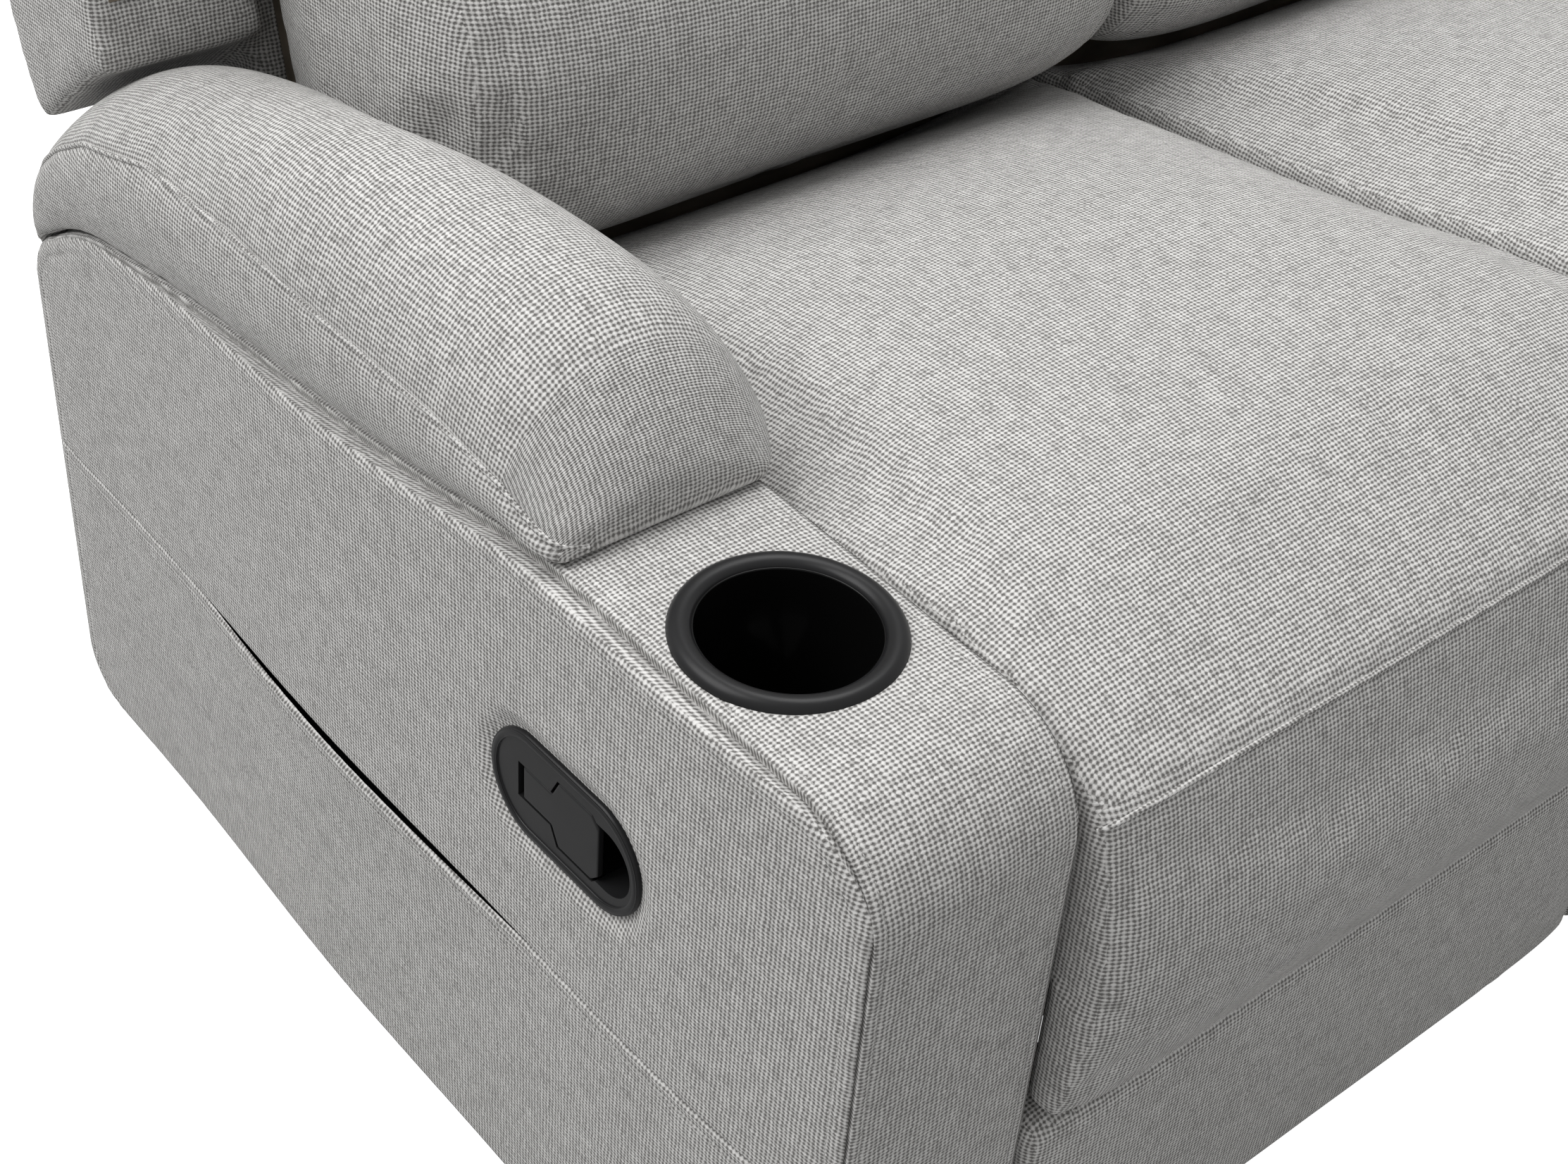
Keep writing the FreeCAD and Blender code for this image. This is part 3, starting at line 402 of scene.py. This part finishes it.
def shaped(bm, depth):
    """Sinks each point along its normal by depth(place, normal)."""
    bm.normal_update()
    moves = [vert.normal * depth(vert.co, vert.normal) for vert in bm.verts]
    for vert, move in zip(bm.verts, moves):
        vert.co -= move
    bm.normal_update()


def subdivided(bm):
    """The mesh after one round of subdivision, as a bmesh."""
    mesh = bpy.data.meshes.new("temporary")
    bm.to_mesh(mesh)
    bm.free()
    mesh = baked(temporary(mesh), ("SUBSURF", {"levels": 1, "render_levels": 1}))
    bm = bmesh.new()
    bm.from_mesh(mesh)
    return bm


def moved(bm, step):
    """A copy of a bmesh, moved along the row."""
    other = bm.copy()
    bmesh.ops.translate(other, verts=other.verts, vec=(step, 0.0, 0.0))
    return other


def soft_row(kind, bm, bodies, fill):
    """The same cushion in the middle seat and, moved, in the two end seats."""
    bm.normal_update()
    lay_weave(bm)
    middle = "middle_" + kind
    low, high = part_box(kind + "_left")
    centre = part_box(middle)
    step = (low[0] + high[0]) / 2.0 - (centre[0][0] + centre[1][0]) / 2.0
    pair(kind, moved(bm, step), upholstery, "upholstery", bodies, kind, padded=fill)
    made = piece(middle + "_look", bm, upholstery, "upholstery", "frame", middle)


def soft_pair(kind, bm, bodies, fill, wrap=None):
    """A padded piece at the left end and its mirror image."""
    bm.normal_update()
    lay_weave(bm, wrap)
    pair(kind, bm, upholstery, "upholstery", bodies, kind, padded=fill)


def soft_single(kind, bm):
    """A padded piece of which the sofa has only one."""
    bm.normal_update()
    lay_weave(bm)
    made = piece(kind + "_look", bm, upholstery, "upholstery", "frame", kind)


def on_surface(tree, outside, inside):
    """Where the line from outside to inside first meets the surface."""
    way = inside - outside
    hit = tree.ray_cast(outside, way.normalized(), way.length * 2.0)
    return hit[0] or inside


def tube(points, radius):
    """A round welt through some points, as a bmesh."""
    curve = bpy.data.curves.new("temporary", "CURVE")
    curve.dimensions = "3D"
    curve.bevel_depth = radius
    curve.bevel_resolution = 2
    curve.use_fill_caps = True
    line = curve.splines.new("POLY")
    line.points.add(len(points) - 1)
    for knot, place in zip(line.points, points):
        knot.co = (*place, 1.0)
    mesh = baked(temporary(curve))
    bm = bmesh.new()
    bm.from_mesh(mesh)
    bm.normal_update()
    lay_weave(bm)
    return bm


def stitches(points, pitch, length, thick):
    """A row of thread stitches along some points, as a bmesh."""
    bm = bmesh.new()
    spare = 0.0
    for a, b in zip(points, points[1:]):
        run = (b - a).length
        if run < 1e-6:
            continue
        along = (b - a) / run
        turn = along.to_track_quat("X", "Z").to_matrix().to_4x4()
        size = Matrix.Diagonal((0.5 * length, 0.5 * thick, 0.5 * thick, 1.0))
        at = pitch - spare
        while at <= run:
            bmesh.ops.create_icosphere(bm, subdivisions=1, radius=1.0,
                                       matrix=Matrix.Translation(a + along * at) @ turn @ size)
            at += pitch
        spare = run - (at - pitch)
    lay_weave(bm)
    return bm


# Arm panels
strip_tree = tree_of("arm_strip_left")
outer_tree = tree_of("arm_outer_panel_left", "arm_pocket_panel_left")


def arm_top(y):
    """Height of the arm body's outline at y, from the frame."""
    y = min(max(y, 0.0003), arm_depth - 0.0003)
    hit = strip_tree.ray_cast(arm_point(arm_width / 2.0 + 0.05, y, 1.2), Vector((0, 0, -1)))
    return hit[0].z if hit[0] else arm_bottom


def heel(y):
    """Height of the arm's lower edge at y, with its rounded rear corner."""
    past = max(y - arm_depth + heel_round, 0.0)
    return arm_bottom + heel_round - math.sqrt(max(heel_round ** 2 - past ** 2, 0.0))


def outline():
    """The arm body's side outline, up the front, over the top and down the rear, as (y, z)."""
    front_steps, nose_steps, rear_steps, heel_steps, top_step = 110, 26, 80, 16, 0.004
    centre = front_height + nose_radius * math.tan(strip_slope) - nose_radius / math.cos(strip_slope)
    line = [(0.0, arm_bottom + (centre - arm_bottom) * i / front_steps) for i in range(front_steps)]
    full = math.pi / 2.0 - strip_slope
    for i in range(nose_steps):
        turn = full * i / nose_steps
        line.append((nose_radius * (1.0 - math.cos(turn)), centre + nose_radius * math.sin(turn)))
    y = line[-1][0] + top_step
    while y < arm_depth - 0.012:
        line.append((y, arm_top(y)))
        y += top_step
    line += [(arm_depth - back, arm_top(arm_depth - back)) for back in (0.006, 0.002)]
    rear_top, rear_low = line[-1][1] - 0.006, arm_bottom + heel_round
    line += [(arm_depth, rear_top - (rear_top - rear_low) * i / rear_steps) for i in range(rear_steps)]
    for i in range(heel_steps + 1):
        turn = 0.5 * math.pi * i / heel_steps
        line.append((arm_depth - heel_round * (1.0 - math.cos(turn)), rear_low - heel_round * math.sin(turn)))
    return line


body_line = [Vector(place) for place in outline()]


def strip_frame():
    """Distance along the arm's outline and outward direction, for each of its points."""
    run, outward = [0.0], []
    for a, b in zip(body_line, body_line[1:]):
        run.append(run[-1] + (b - a).length)
    for i in range(len(body_line)):
        step = body_line[min(i + 1, len(body_line) - 1)] - body_line[max(i - 1, 0)]
        step.normalize()
        outward.append(Vector((-step.y, step.x)))
    return run, outward


line_run, line_out = strip_frame()
line_tree = KDTree(len(body_line))
for number, place in enumerate(body_line):
    line_tree.insert((place.x, place.y, 0.0), number)
line_tree.balance()


def seam_distance(y, z):
    """Distance from (y, z) to the arm's outline."""
    here = Vector((y, z))
    number = line_tree.find((y, z, 0.0))[1]
    best = 1.0
    for a, b in ((number - 1, number), (number, number + 1)):
        if a < 0 or b >= len(body_line):
            continue
        start, end = body_line[a], body_line[b]
        near, share = geometry.intersect_point_line(here, start, end)
        near = start.lerp(end, min(max(share, 0.0), 1.0))
        best = min(best, (near.xy - here).length)
    return best


def grid(columns, rows, place, keep=None):
    """A sheet of quads whose corners go where place(u, v) says, with its UV map in metres."""
    bm = bmesh.new()
    bmesh.ops.create_grid(bm, x_segments=columns, y_segments=rows, size=0.5, calc_uvs=False)
    layer = bm.loops.layers.uv.verify()
    flat = {}
    for vert in bm.verts:
        vert.co, flat[vert.index] = place(vert.co.x + 0.5, vert.co.y + 0.5)
    for face in bm.faces:
        for loop in face.loops:
            loop[layer].uv = flat[loop.vert.index]
    if keep:
        gone = [f for f in bm.faces if not keep(f.calc_center_median())]
        bmesh.ops.delete(bm, geom=gone, context="FACES")
    bm.normal_update()
    return bm


def rolled(distance, radius, depth):
    """How far a panel's edge rolls in, at a distance from its seam."""
    if distance >= radius:
        return 0.0
    share = 1.0 - max(distance, 0.0) / radius
    return depth * (1.0 - math.sqrt(max(1.0 - share * share, 0.0)))


def dent(distance, width, depth):
    """A stitched line sunk into the padding."""
    return depth * math.exp(-(distance / width) ** 2)


def in_stadium(y, z, grow):
    """Distance outside the bezel's outline grown by a margin, negative inside."""
    r = bezel_size[1] / 2.0
    half = bezel_size[0] / 2.0 - r
    dy = max(abs(y - handle_place[0]) - half, 0.0)
    return math.hypot(dy, z - handle_place[1]) - r - grow


def panel_face(y, z):
    """Place across the arm of the outer side panels' face, from the frame."""
    start = arm_point(-0.08, min(max(y, 0.0015), arm_depth - 0.0015), z)
    hit = outer_tree.ray_cast(start, Vector((1, 0, 0)), 0.1)
    return hit[0].x - arm_seam if hit[0] else 0.0


def pocket_share(y):
    """How far the pocket gapes at y, from 0 at its ends to 1 in its middle."""
    share = (y - pocket_ends[0]) / (pocket_ends[1] - pocket_ends[0])
    return math.sin(math.pi * share) ** 0.8 if 0.0 < share < 1.0 else 0.0


def hem_height(y):
    """Height of the pocket's sagging hem at y."""
    return pocket_z - pocket_open * pocket_share(y)


def side_panel(low, high, hem):
    """Outer side panel between two heights given as functions of y."""
    hidden, blend = 0.010, 0.014

    def place(u, v):
        ease = 0.5 * (1.0 - math.cos(math.pi * u))
        y = arm_depth * (0.0008 + 0.9984 * (0.35 * ease + 0.65 * u))
        if not hem and v > 1.0 - 1e-6:
            number = line_tree.find((y, high(y), 0.0))[1]
            y, z = body_line[number] - line_out[number] * tuck
            return arm_point(hidden, y, z), (y, z)
        if min(u, 1.0 - u) < 1e-6:
            y = min(max(y, tuck), arm_depth - tuck)
            z = low(y) + (high(y) - low(y)) * v
            return arm_point(hidden, y, z), (y, z)
        spread = 0.5 * (1.0 - math.cos(math.pi * v))
        z = low(y) + (high(y) - low(y)) * (0.3 * spread + 0.7 * v)
        a = panel_face(y, min(max(z, low(y) + 0.003), high(y) - 0.003, arm_bottom + 0.003))
        away = seam_distance(y, z)
        a += rolled(away, 0.010, 0.0055 + min(-a, 0.02) * 0.35) + dent(away - panel_stitch, 0.0012, 0.0007)
        gape = pocket_share(y)
        edge = abs(z - (high(y) if hem else low(y)))
        if hem:
            a -= pocket_push * gape * math.exp(-edge / 0.035)
            a += dent(edge - hem_stitch, 0.0011, 0.0007)
            a += rolled(z - low(y), 0.007, 0.005)
        a += rolled(edge, 0.0035, 0.0016 + 0.0020 * gape)
        near = in_stadium(y, z, 0.0)
        if near < blend:
            ease = 1.0 - max(near, 0.0) / blend
            a = a + (-bezel_seat + 0.0006 - a) * ease * ease * (3.0 - 2.0 * ease)
        return arm_point(a, y, z), (y, z)
    return place


def make_side_panels():
    """The outer side panel above the pocket's seam, and the pocket panel below it."""
    def upper_high(y):
        return max(arm_top(y) - 0.0008, pocket_z + 0.02)
    upper = grid(230, 84, side_panel(lambda y: pocket_z, upper_high, False),
                 lambda c: in_stadium(c.y - arm_front, c.z, -0.006) > 0.0)
    pair("arm_outer_panel", upper, upholstery, "upholstery", root, "arm_outer_panel")
    lower = grid(230, 62, side_panel(lambda y: heel(y) + 0.0004, hem_height, True))
    pair("arm_pocket_panel", lower, upholstery, "upholstery", root, "arm_pocket_panel")


def strip_puff(across):
    """How far the strip stands out of the arm's outline, across its width."""
    edge = min(across, arm_width - across)
    round_top = 0.0022 * math.sin(math.pi * across / arm_width)
    return round_top - rolled(edge, 0.007, 0.0042) - dent(edge - strip_stitch, 0.0011, 0.0007)


def make_strip():
    """The strip up the front of the arm and over its top, and down behind."""
    rows = len(body_line) - 1

    def place(u, v):
        i = min(int(round(v * rows)), rows)
        ease = 0.5 * (1.0 - math.cos(math.pi * u))
        across = 0.0008 + (arm_width - 0.0016) * (0.5 * ease + 0.5 * u)
        if min(u, 1.0 - u) < 1e-6:
            across = 0.005 if u < 0.5 else arm_width - 0.005
            y, z = body_line[i] - line_out[i] * tuck
            return arm_point(across, y, z), (across, line_run[i])
        y, z = body_line[i] + line_out[i] * strip_puff(across)
        return arm_point(across, y, z), (across, line_run[i])

    centre = arm_point(cup_place[0], cup_place[1], 0.0)
    cup_cut, above_front = 0.053, 0.5
    bm = grid(60, rows, place, lambda c: math.hypot(c.x - centre.x, c.y - centre.y) > cup_cut
              or c.z < above_front)
    pair("arm_strip", bm, upholstery, "upholstery", root, "arm_strip")


def make_inner_panel():
    """The side of the arm that faces the seats."""
    def place(u, v):
        y = arm_depth * (0.001 + 0.998 * u)
        low, high = heel(y) + 0.0004, max(arm_top(y) - 0.0008, arm_bottom + 0.05)
        z = low + (high - low) * v
        a = arm_width - rolled(seam_distance(y, z), 0.006, 0.0035)
        return arm_point(a, y, z), (y, z)
    bm = grid(160, 90, place)
    bmesh.ops.reverse_faces(bm, faces=bm.faces)
    pair("arm_inner_panel", bm, upholstery, "upholstery", root, "arm_inner_panel")


def make_arm_stitches():
    """Topstitching along both edges of the strip, beside the outer seam and along the hem."""
    pad_begins = 0.300
    shown = [i for i, place in enumerate(body_line) if place.x < pad_begins or place.x > arm_depth - 0.0005]
    rows = []
    for across in (strip_stitch, arm_width - strip_stitch):
        rows.append([arm_point(across, *(body_line[i] + line_out[i] * (strip_puff(across) + thread_lift)))
                     for i in shown if body_line[i].x < pad_begins])
    beside = []
    for i in shown:
        y, z = body_line[i] - line_out[i] * panel_stitch
        if 0.0 < y < pad_begins and z > arm_bottom + 0.002:
            beside.append(arm_point(panel_face(y, z) + thread_lift, y, z))
    rows.append(beside)
    steps = [0.02 + (arm_depth - 0.04) * i / 200.0 for i in range(201)]
    hem = []
    for y in steps:
        z = hem_height(y) - hem_stitch
        hem.append(arm_point(panel_face(y, z) - pocket_push * pocket_share(y) * 0.8 + thread_lift, y, z))
    rows.append(hem)
    whole = bmesh.new()
    for row in rows:
        part = stitches(row, pitch=0.0046, length=0.0030, thick=0.00075)
        mesh = bpy.data.meshes.new("temporary")
        part.to_mesh(mesh)
        part.free()
        whole.from_mesh(mesh)
    pair("arm_stitches", whole, thread, "upholstery", root)


# Arm pad. Its ridge is given as (share of the pad's length, height)
pad_seam = [(0.0, 0.546), (0.035, 0.552), (0.087, 0.562), (0.186, 0.570), (0.346, 0.572), (0.519, 0.576),
            (0.692, 0.570), (0.825, 0.548), (0.888, 0.527), (0.944, 0.500), (0.984, 0.462), (1.0, 0.430)]
pad_start = 0.241


def seam_height(y):
    """Height of the pad's ridge at y."""
    share = (y - pad_start) / (arm_depth - pad_start)
    for (s0, z0), (s1, z1) in zip(pad_seam, pad_seam[1:]):
        if share <= s1:
            return z0 + (z1 - z0) * (share - s0) / (s1 - s0)
    return pad_seam[-1][1]


def make_arm_pad():
    """The pad on the arm, with a sewn ridge along its upper outer edge."""
    bm = puffed(cushion("arm_pad_left", 0.004, 5), 3.0, 0.004,
                lambda c: c.z < arm_top(c.y - arm_front) + 0.006)
    bm = subdivided(bm)
    left = arm_seam + 0.02
    front_share, crest = 0.05, 0.65

    def groove(place, normal):
        y = place.y - arm_front
        if place.x > left:
            return 0.0
        return dent(place.z - seam_height(y), 0.004, 0.0012)
    shaped(bm, groove)
    tree = BVHTree.FromBMesh(bm)
    ridge = []
    for i in range(141):
        y = pad_start + 0.004 + (arm_depth - pad_start - 0.010) * i / 140.0
        z = seam_height(y)
        ridge.append(on_surface(tree, arm_point(-0.06, y, z + 0.010), arm_point(0.03, y, z - 0.005)))

    def over_the_top(place):
        """Round the pad from side to side, and down its front end."""
        y = place.y - arm_front
        end = min(max((pad_start + front_share - y) / front_share, 0.0), 1.0)
        side = place.x - arm_seam - 0.07
        turn = 0.085 * math.atan2(side, place.z - seam_height(y) + 0.03)
        return (turn + (side - turn) * end, y + (place.z - crest) * end)

    def wrap(face):
        """The side below the ridge lies flat, and the top wraps round from the ridge."""
        centre = face.calc_center_median()
        if face.normal.z < -0.5:
            return None
        if centre.x < left and centre.z < seam_height(centre.y - arm_front) and face.normal.y > -0.75:
            return lambda c: (c.y, c.z)
        return over_the_top
    soft_pair("arm_pad", bm, root, 0.85, wrap)
    pair("arm_pad_welt", tube(ridge, welt_radius), upholstery, "upholstery", root)


def strip_height(y):
    """Height of the strip at y, before the arm pad begins."""
    return front_height + y * math.tan(strip_slope)


# Seats and backs
seat_seam = (-0.016, 0.486)


def make_seats():
    """Seat cushions with a sewn ridge between the top and the padded front."""
    low, high = [Vector(corner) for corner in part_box("middle_seat_cushion")]
    bm = cushion("middle_seat_cushion", 0.007, 3)
    bm = puffed(bm, 3.0, 0.006, lambda c: c.z < low.z + 0.02 or c.y > high.y - 0.03 or
                (c.z < 0.36 and c.y > arm_front - 0.02))
    bm = subdivided(bm)
    seam_y = arm_front + seat_seam[0]

    def valley(place, normal):
        """A shallow valley on both sides of the ridge."""
        if place.z <= 0.4:
            return 0.0
        return dent(math.hypot(place.y - seam_y, place.z - seat_seam[1]), 0.009, 0.0015)
    shaped(bm, valley)
    tree = BVHTree.FromBMesh(bm)
    inset = 0.006
    ridge = []
    for i in range(121):
        x = low.x + inset + (high.x - low.x - 2.0 * inset) * i / 120.0
        outside = Vector((x, seam_y - 0.06, seat_seam[1] + 0.06))
        ridge.append(on_surface(tree, outside, Vector((x, seam_y + 0.03, seat_seam[1] - 0.03))))
    step = -(high.x - low.x) - 0.004
    soft_row("seat_cushion", bm, ("left_seat", "right_seat"), 0.85)
    welt = tube(ridge, welt_radius)
    pair("seat_welt", moved(welt, step), upholstery, "upholstery", ("left_seat", "right_seat"))
    piece("middle_seat_welt_look", welt, upholstery, "upholstery", "frame")


def make_back_cushion(kind, voxel, rounds, pucker_pitch, pucker_seed, pucker_depth):
    """A cushion of the backs, with boxed ends and puckered seams."""
    low, high = [Vector(corner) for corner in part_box("middle_" + kind)]
    bm = cushion("middle_" + kind, voxel, rounds)
    bm = puffed(bm, 4.0, 0.010, lambda c: c.y > high.y - 0.05)
    bm = subdivided(bm)

    def sewn(place, normal):
        """Seam beside each end of the front, with puckers running off it."""
        end = min(place.x - low.x, high.x - place.x)
        front = max(-normal.y, 0.0)
        seam = dent(end - 0.030, 0.004, 0.0022)
        pucker = noise.noise(Vector((place.x * 9.0, place.z * pucker_pitch, pucker_seed)))
        return front * (seam + pucker_depth * pucker * math.exp(-(abs(end - 0.034) / 0.020) ** 1.5))
    shaped(bm, sewn)
    soft_row(kind, bm, ("left_back", "right_back"), 0.85)


# Cup holder and handle
def spun(profile, steps):
    """A turned shape about Z from (radius, height) points."""
    bm = bmesh.new()
    verts = [bm.verts.new((r, 0.0, z)) for r, z in profile]
    edges = [bm.edges.new(two) for two in zip(verts, verts[1:])]
    bmesh.ops.spin(bm, geom=verts + edges, cent=(0, 0, 0), axis=(0, 0, 1), dvec=(0, 0, 0),
                   angle=2.0 * math.pi, steps=steps, use_merge=True,
                   use_normal_flip=False, use_duplicate=False)
    bmesh.ops.remove_doubles(bm, verts=bm.verts, dist=0.00001)
    bmesh.ops.recalc_face_normals(bm, faces=bm.faces)
    return bm


def make_cup():
    """A satin rounded flange and a glossy cup, turned and set into the strip."""
    turn = Matrix.Rotation(strip_slope, 4, "X")
    centre = arm_point(cup_place[0], cup_place[1], strip_height(cup_place[1]))
    flange = [(0.0474, 0.0018), (0.0478, 0.0036), (0.0490, 0.0048), (0.0508, 0.0058), (0.0530, 0.0063),
              (0.0552, 0.0061), (0.0572, 0.0052), (0.0588, 0.0038), (0.0598, 0.0020), (0.0602, 0.0003),
              (0.0600, -0.0022), (0.0500, -0.0022)]
    cup = [(0.0500, -0.0030), (0.0500, 0.0012), (0.0478, 0.0024), (0.0471, 0.0027), (0.0467, 0.0024),
           (0.0465, 0.0014), (0.0463, -0.0060), (0.0447, -0.0800), (0.0441, -0.0825), (0.0428, -0.0838),
           (0.0400, -0.0840), (0.0398, -0.0834), (0.0388, -0.0834), (0.0386, -0.0840), (0.0002, -0.0840),
           (0.0002, -0.0862), (0.0440, -0.0862), (0.0462, -0.0840), (0.0489, -0.0030), (0.0500, -0.0030)]
    for name, profile, finish in (("cup_flange", flange, satin_black), ("cup", cup, gloss_black)):
        bm = spun(profile, 128)
        bmesh.ops.transform(bm, matrix=Matrix.Translation(centre) @ turn, verts=bm.verts)
        pair(name, bm, finish, "cup_plastic", root, "cup_holder")


def make_bezel_rim():
    """The rounded rim of the handle's bezel, laid over its sharp edge."""
    r = bezel_size[1] / 2.0
    half = bezel_size[0] / 2.0 - r
    bm = bmesh.new()
    bmesh.ops.create_circle(bm, cap_ends=False, radius=1.0, segments=96)
    ring = list(bm.verts)
    edges = list(bm.edges)
    angle = {vert: math.atan2(vert.co.y, vert.co.x) for vert in ring}
    steps = [(0.0006, -0.0008), (0.0008, 0.0010), (0.0004, 0.0022), (-0.0006, 0.0030), (-0.0020, 0.0034),
             (-0.0034, 0.0033), (-0.0044, 0.0028), (-0.0048, 0.0018), (-0.0049, 0.0006)]
    for number, (grow, out) in enumerate(steps):
        if number:
            made = bmesh.ops.extrude_edge_only(bm, edges=edges)["geom"]
            verts = [item for item in made if isinstance(item, bmesh.types.BMVert)]
            edges = [item for item in made if isinstance(item, bmesh.types.BMEdge)
                     and item.verts[0] in verts and item.verts[1] in verts]
            for vert in verts:
                near = min(ring, key=lambda old: (old.co - vert.co).length_squared)
                angle[vert] = angle[near]
            ring = verts
        for vert in ring:
            turn = angle[vert]
            side = half if math.cos(turn) > 0.0 else -half
            if abs(math.cos(turn)) < 1e-6:
                side = 0.0
            place = (handle_place[0] + side + (r + grow) * math.cos(turn),
                     handle_place[1] + (r + grow) * math.sin(turn))
            vert.co = arm_point(-bezel_seat - out, *place)
    bmesh.ops.recalc_face_normals(bm, faces=bm.faces)
    lay_weave(bm)
    pair("bezel_rim", bm, satin_black, "bezel_plastic", root)


def make_paddle():
    """The T-shaped paddle with its edges rounded."""
    bm = cushion("handle_paddle_left", 0.0007, 3)
    pair("handle_paddle", bm, satin_black, "paddle_plastic", ("left_handle", "right_handle"), "handle_paddle")


make_side_panels()
make_strip()
make_inner_panel()
make_arm_stitches()
make_arm_pad()
make_seats()
make_back_cushion("lumbar_cushion", 0.007, 5, 55.0, 3.0, 0.0022)
make_back_cushion("headrest", 0.008, 6, 50.0, 8.0, 0.002)
make_cup()
make_bezel_rim()
make_paddle()
soft_pair("back_cover", cushion("back_cover_left", 0.007, 5), ("left_back", "right_back"), 0.7)
soft_single("middle_back_cover", cushion("middle_back_cover", 0.007, 5))
soft_pair("footrest_pad", cushion("footrest_pad_left", 0.005, 4), ("left_footrest", "right_footrest"), 0.8)
soft_single("middle_front_panel", cushion("middle_front_panel", 0.005, 4))
soft_single("rear_panel", cushion("rear_panel", 0.006, 3))


# Studio
def add_studio():
    """A pale floor and a plain background, both white to the camera, and two soft lamps."""
    bpy.ops.mesh.primitive_plane_add(size=30.0, location=(0, 0, 0))
    floor = bpy.context.object
    floor.name = "floor"
    p = Paint("floor_white")
    path = p.node("LightPath", {}, {}, 0)
    out = p.tree.nodes.new("ShaderNodeOutputMaterial")
    base = p.node("BsdfPrincipled", {}, {
        "Base Color": colour(0.36, 0.36, 0.36), "Roughness": 0.9,
        "Emission Color": colour(1.0, 1.0, 1.0), "Emission Strength": path * 0.95})
    p.tree.links.new(base.socket, out.inputs["Surface"])
    floor.data.materials.append(p.material)

    world = bpy.data.worlds.new("studio")
    bpy.context.scene.world = world
    world.use_nodes = True
    tree = world.node_tree
    tree.nodes.clear()
    rays = tree.nodes.new("ShaderNodeLightPath")
    fill = tree.nodes.new("ShaderNodeBackground")
    fill.inputs["Color"].default_value = (1.0, 1.0, 1.0, 1.0)
    fill.inputs["Strength"].default_value = 0.645
    white = tree.nodes.new("ShaderNodeBackground")
    white.inputs["Color"].default_value = (1.0, 1.0, 1.0, 1.0)
    white.inputs["Strength"].default_value = 1.0
    both = tree.nodes.new("ShaderNodeMixShader")
    out = tree.nodes.new("ShaderNodeOutputWorld")
    tree.links.new(rays.outputs["Is Camera Ray"], both.inputs[0])
    tree.links.new(fill.outputs[0], both.inputs[1])
    tree.links.new(white.outputs[0], both.inputs[2])
    tree.links.new(both.outputs[0], out.inputs["Surface"])

    for name, place, target, size, power in (
            ("key", (-3.2, 1.3, 4.2), (-0.3, 0.0, 0.3), 3.2, 176.0),
            ("top", (0.6, 0.6, 4.6), (0.0, 0.0, 0.3), 2.4, 98.0)):
        lamp = bpy.data.lights.new(name, "AREA")
        lamp.size, lamp.energy = size, power
        made = bpy.data.objects.new(name, lamp)
        bpy.context.collection.objects.link(made)
        made.location = place
        made.rotation_euler = (Vector(target) - Vector(place)).to_track_quat("-Z", "Y").to_euler()


def add_camera():
    """The photograph's camera."""
    heading, drop, roll = camera_heading, camera_drop, camera_roll
    forward = Vector((math.sin(heading) * math.cos(drop), math.cos(heading) * math.cos(drop),
                      -math.sin(drop)))
    right = Vector((math.cos(heading), -math.sin(heading), 0.0))
    down = forward.cross(right)
    level = right * math.cos(roll) + down * math.sin(roll)
    below = down * math.cos(roll) - right * math.sin(roll)
    lens = bpy.data.cameras.new("camera")
    lens.lens, lens.sensor_width = camera_lens, 36.0
    lens.clip_start = 0.05
    made = bpy.data.objects.new("camera", lens)
    bpy.context.collection.objects.link(made)
    turned = Matrix((level, -below, -forward)).transposed().to_4x4()
    made.matrix_world = Matrix.Translation(camera_place) @ turned
    bpy.context.scene.camera = made


add_studio()
add_camera()
bpy.context.scene.view_settings.view_transform = "Standard"
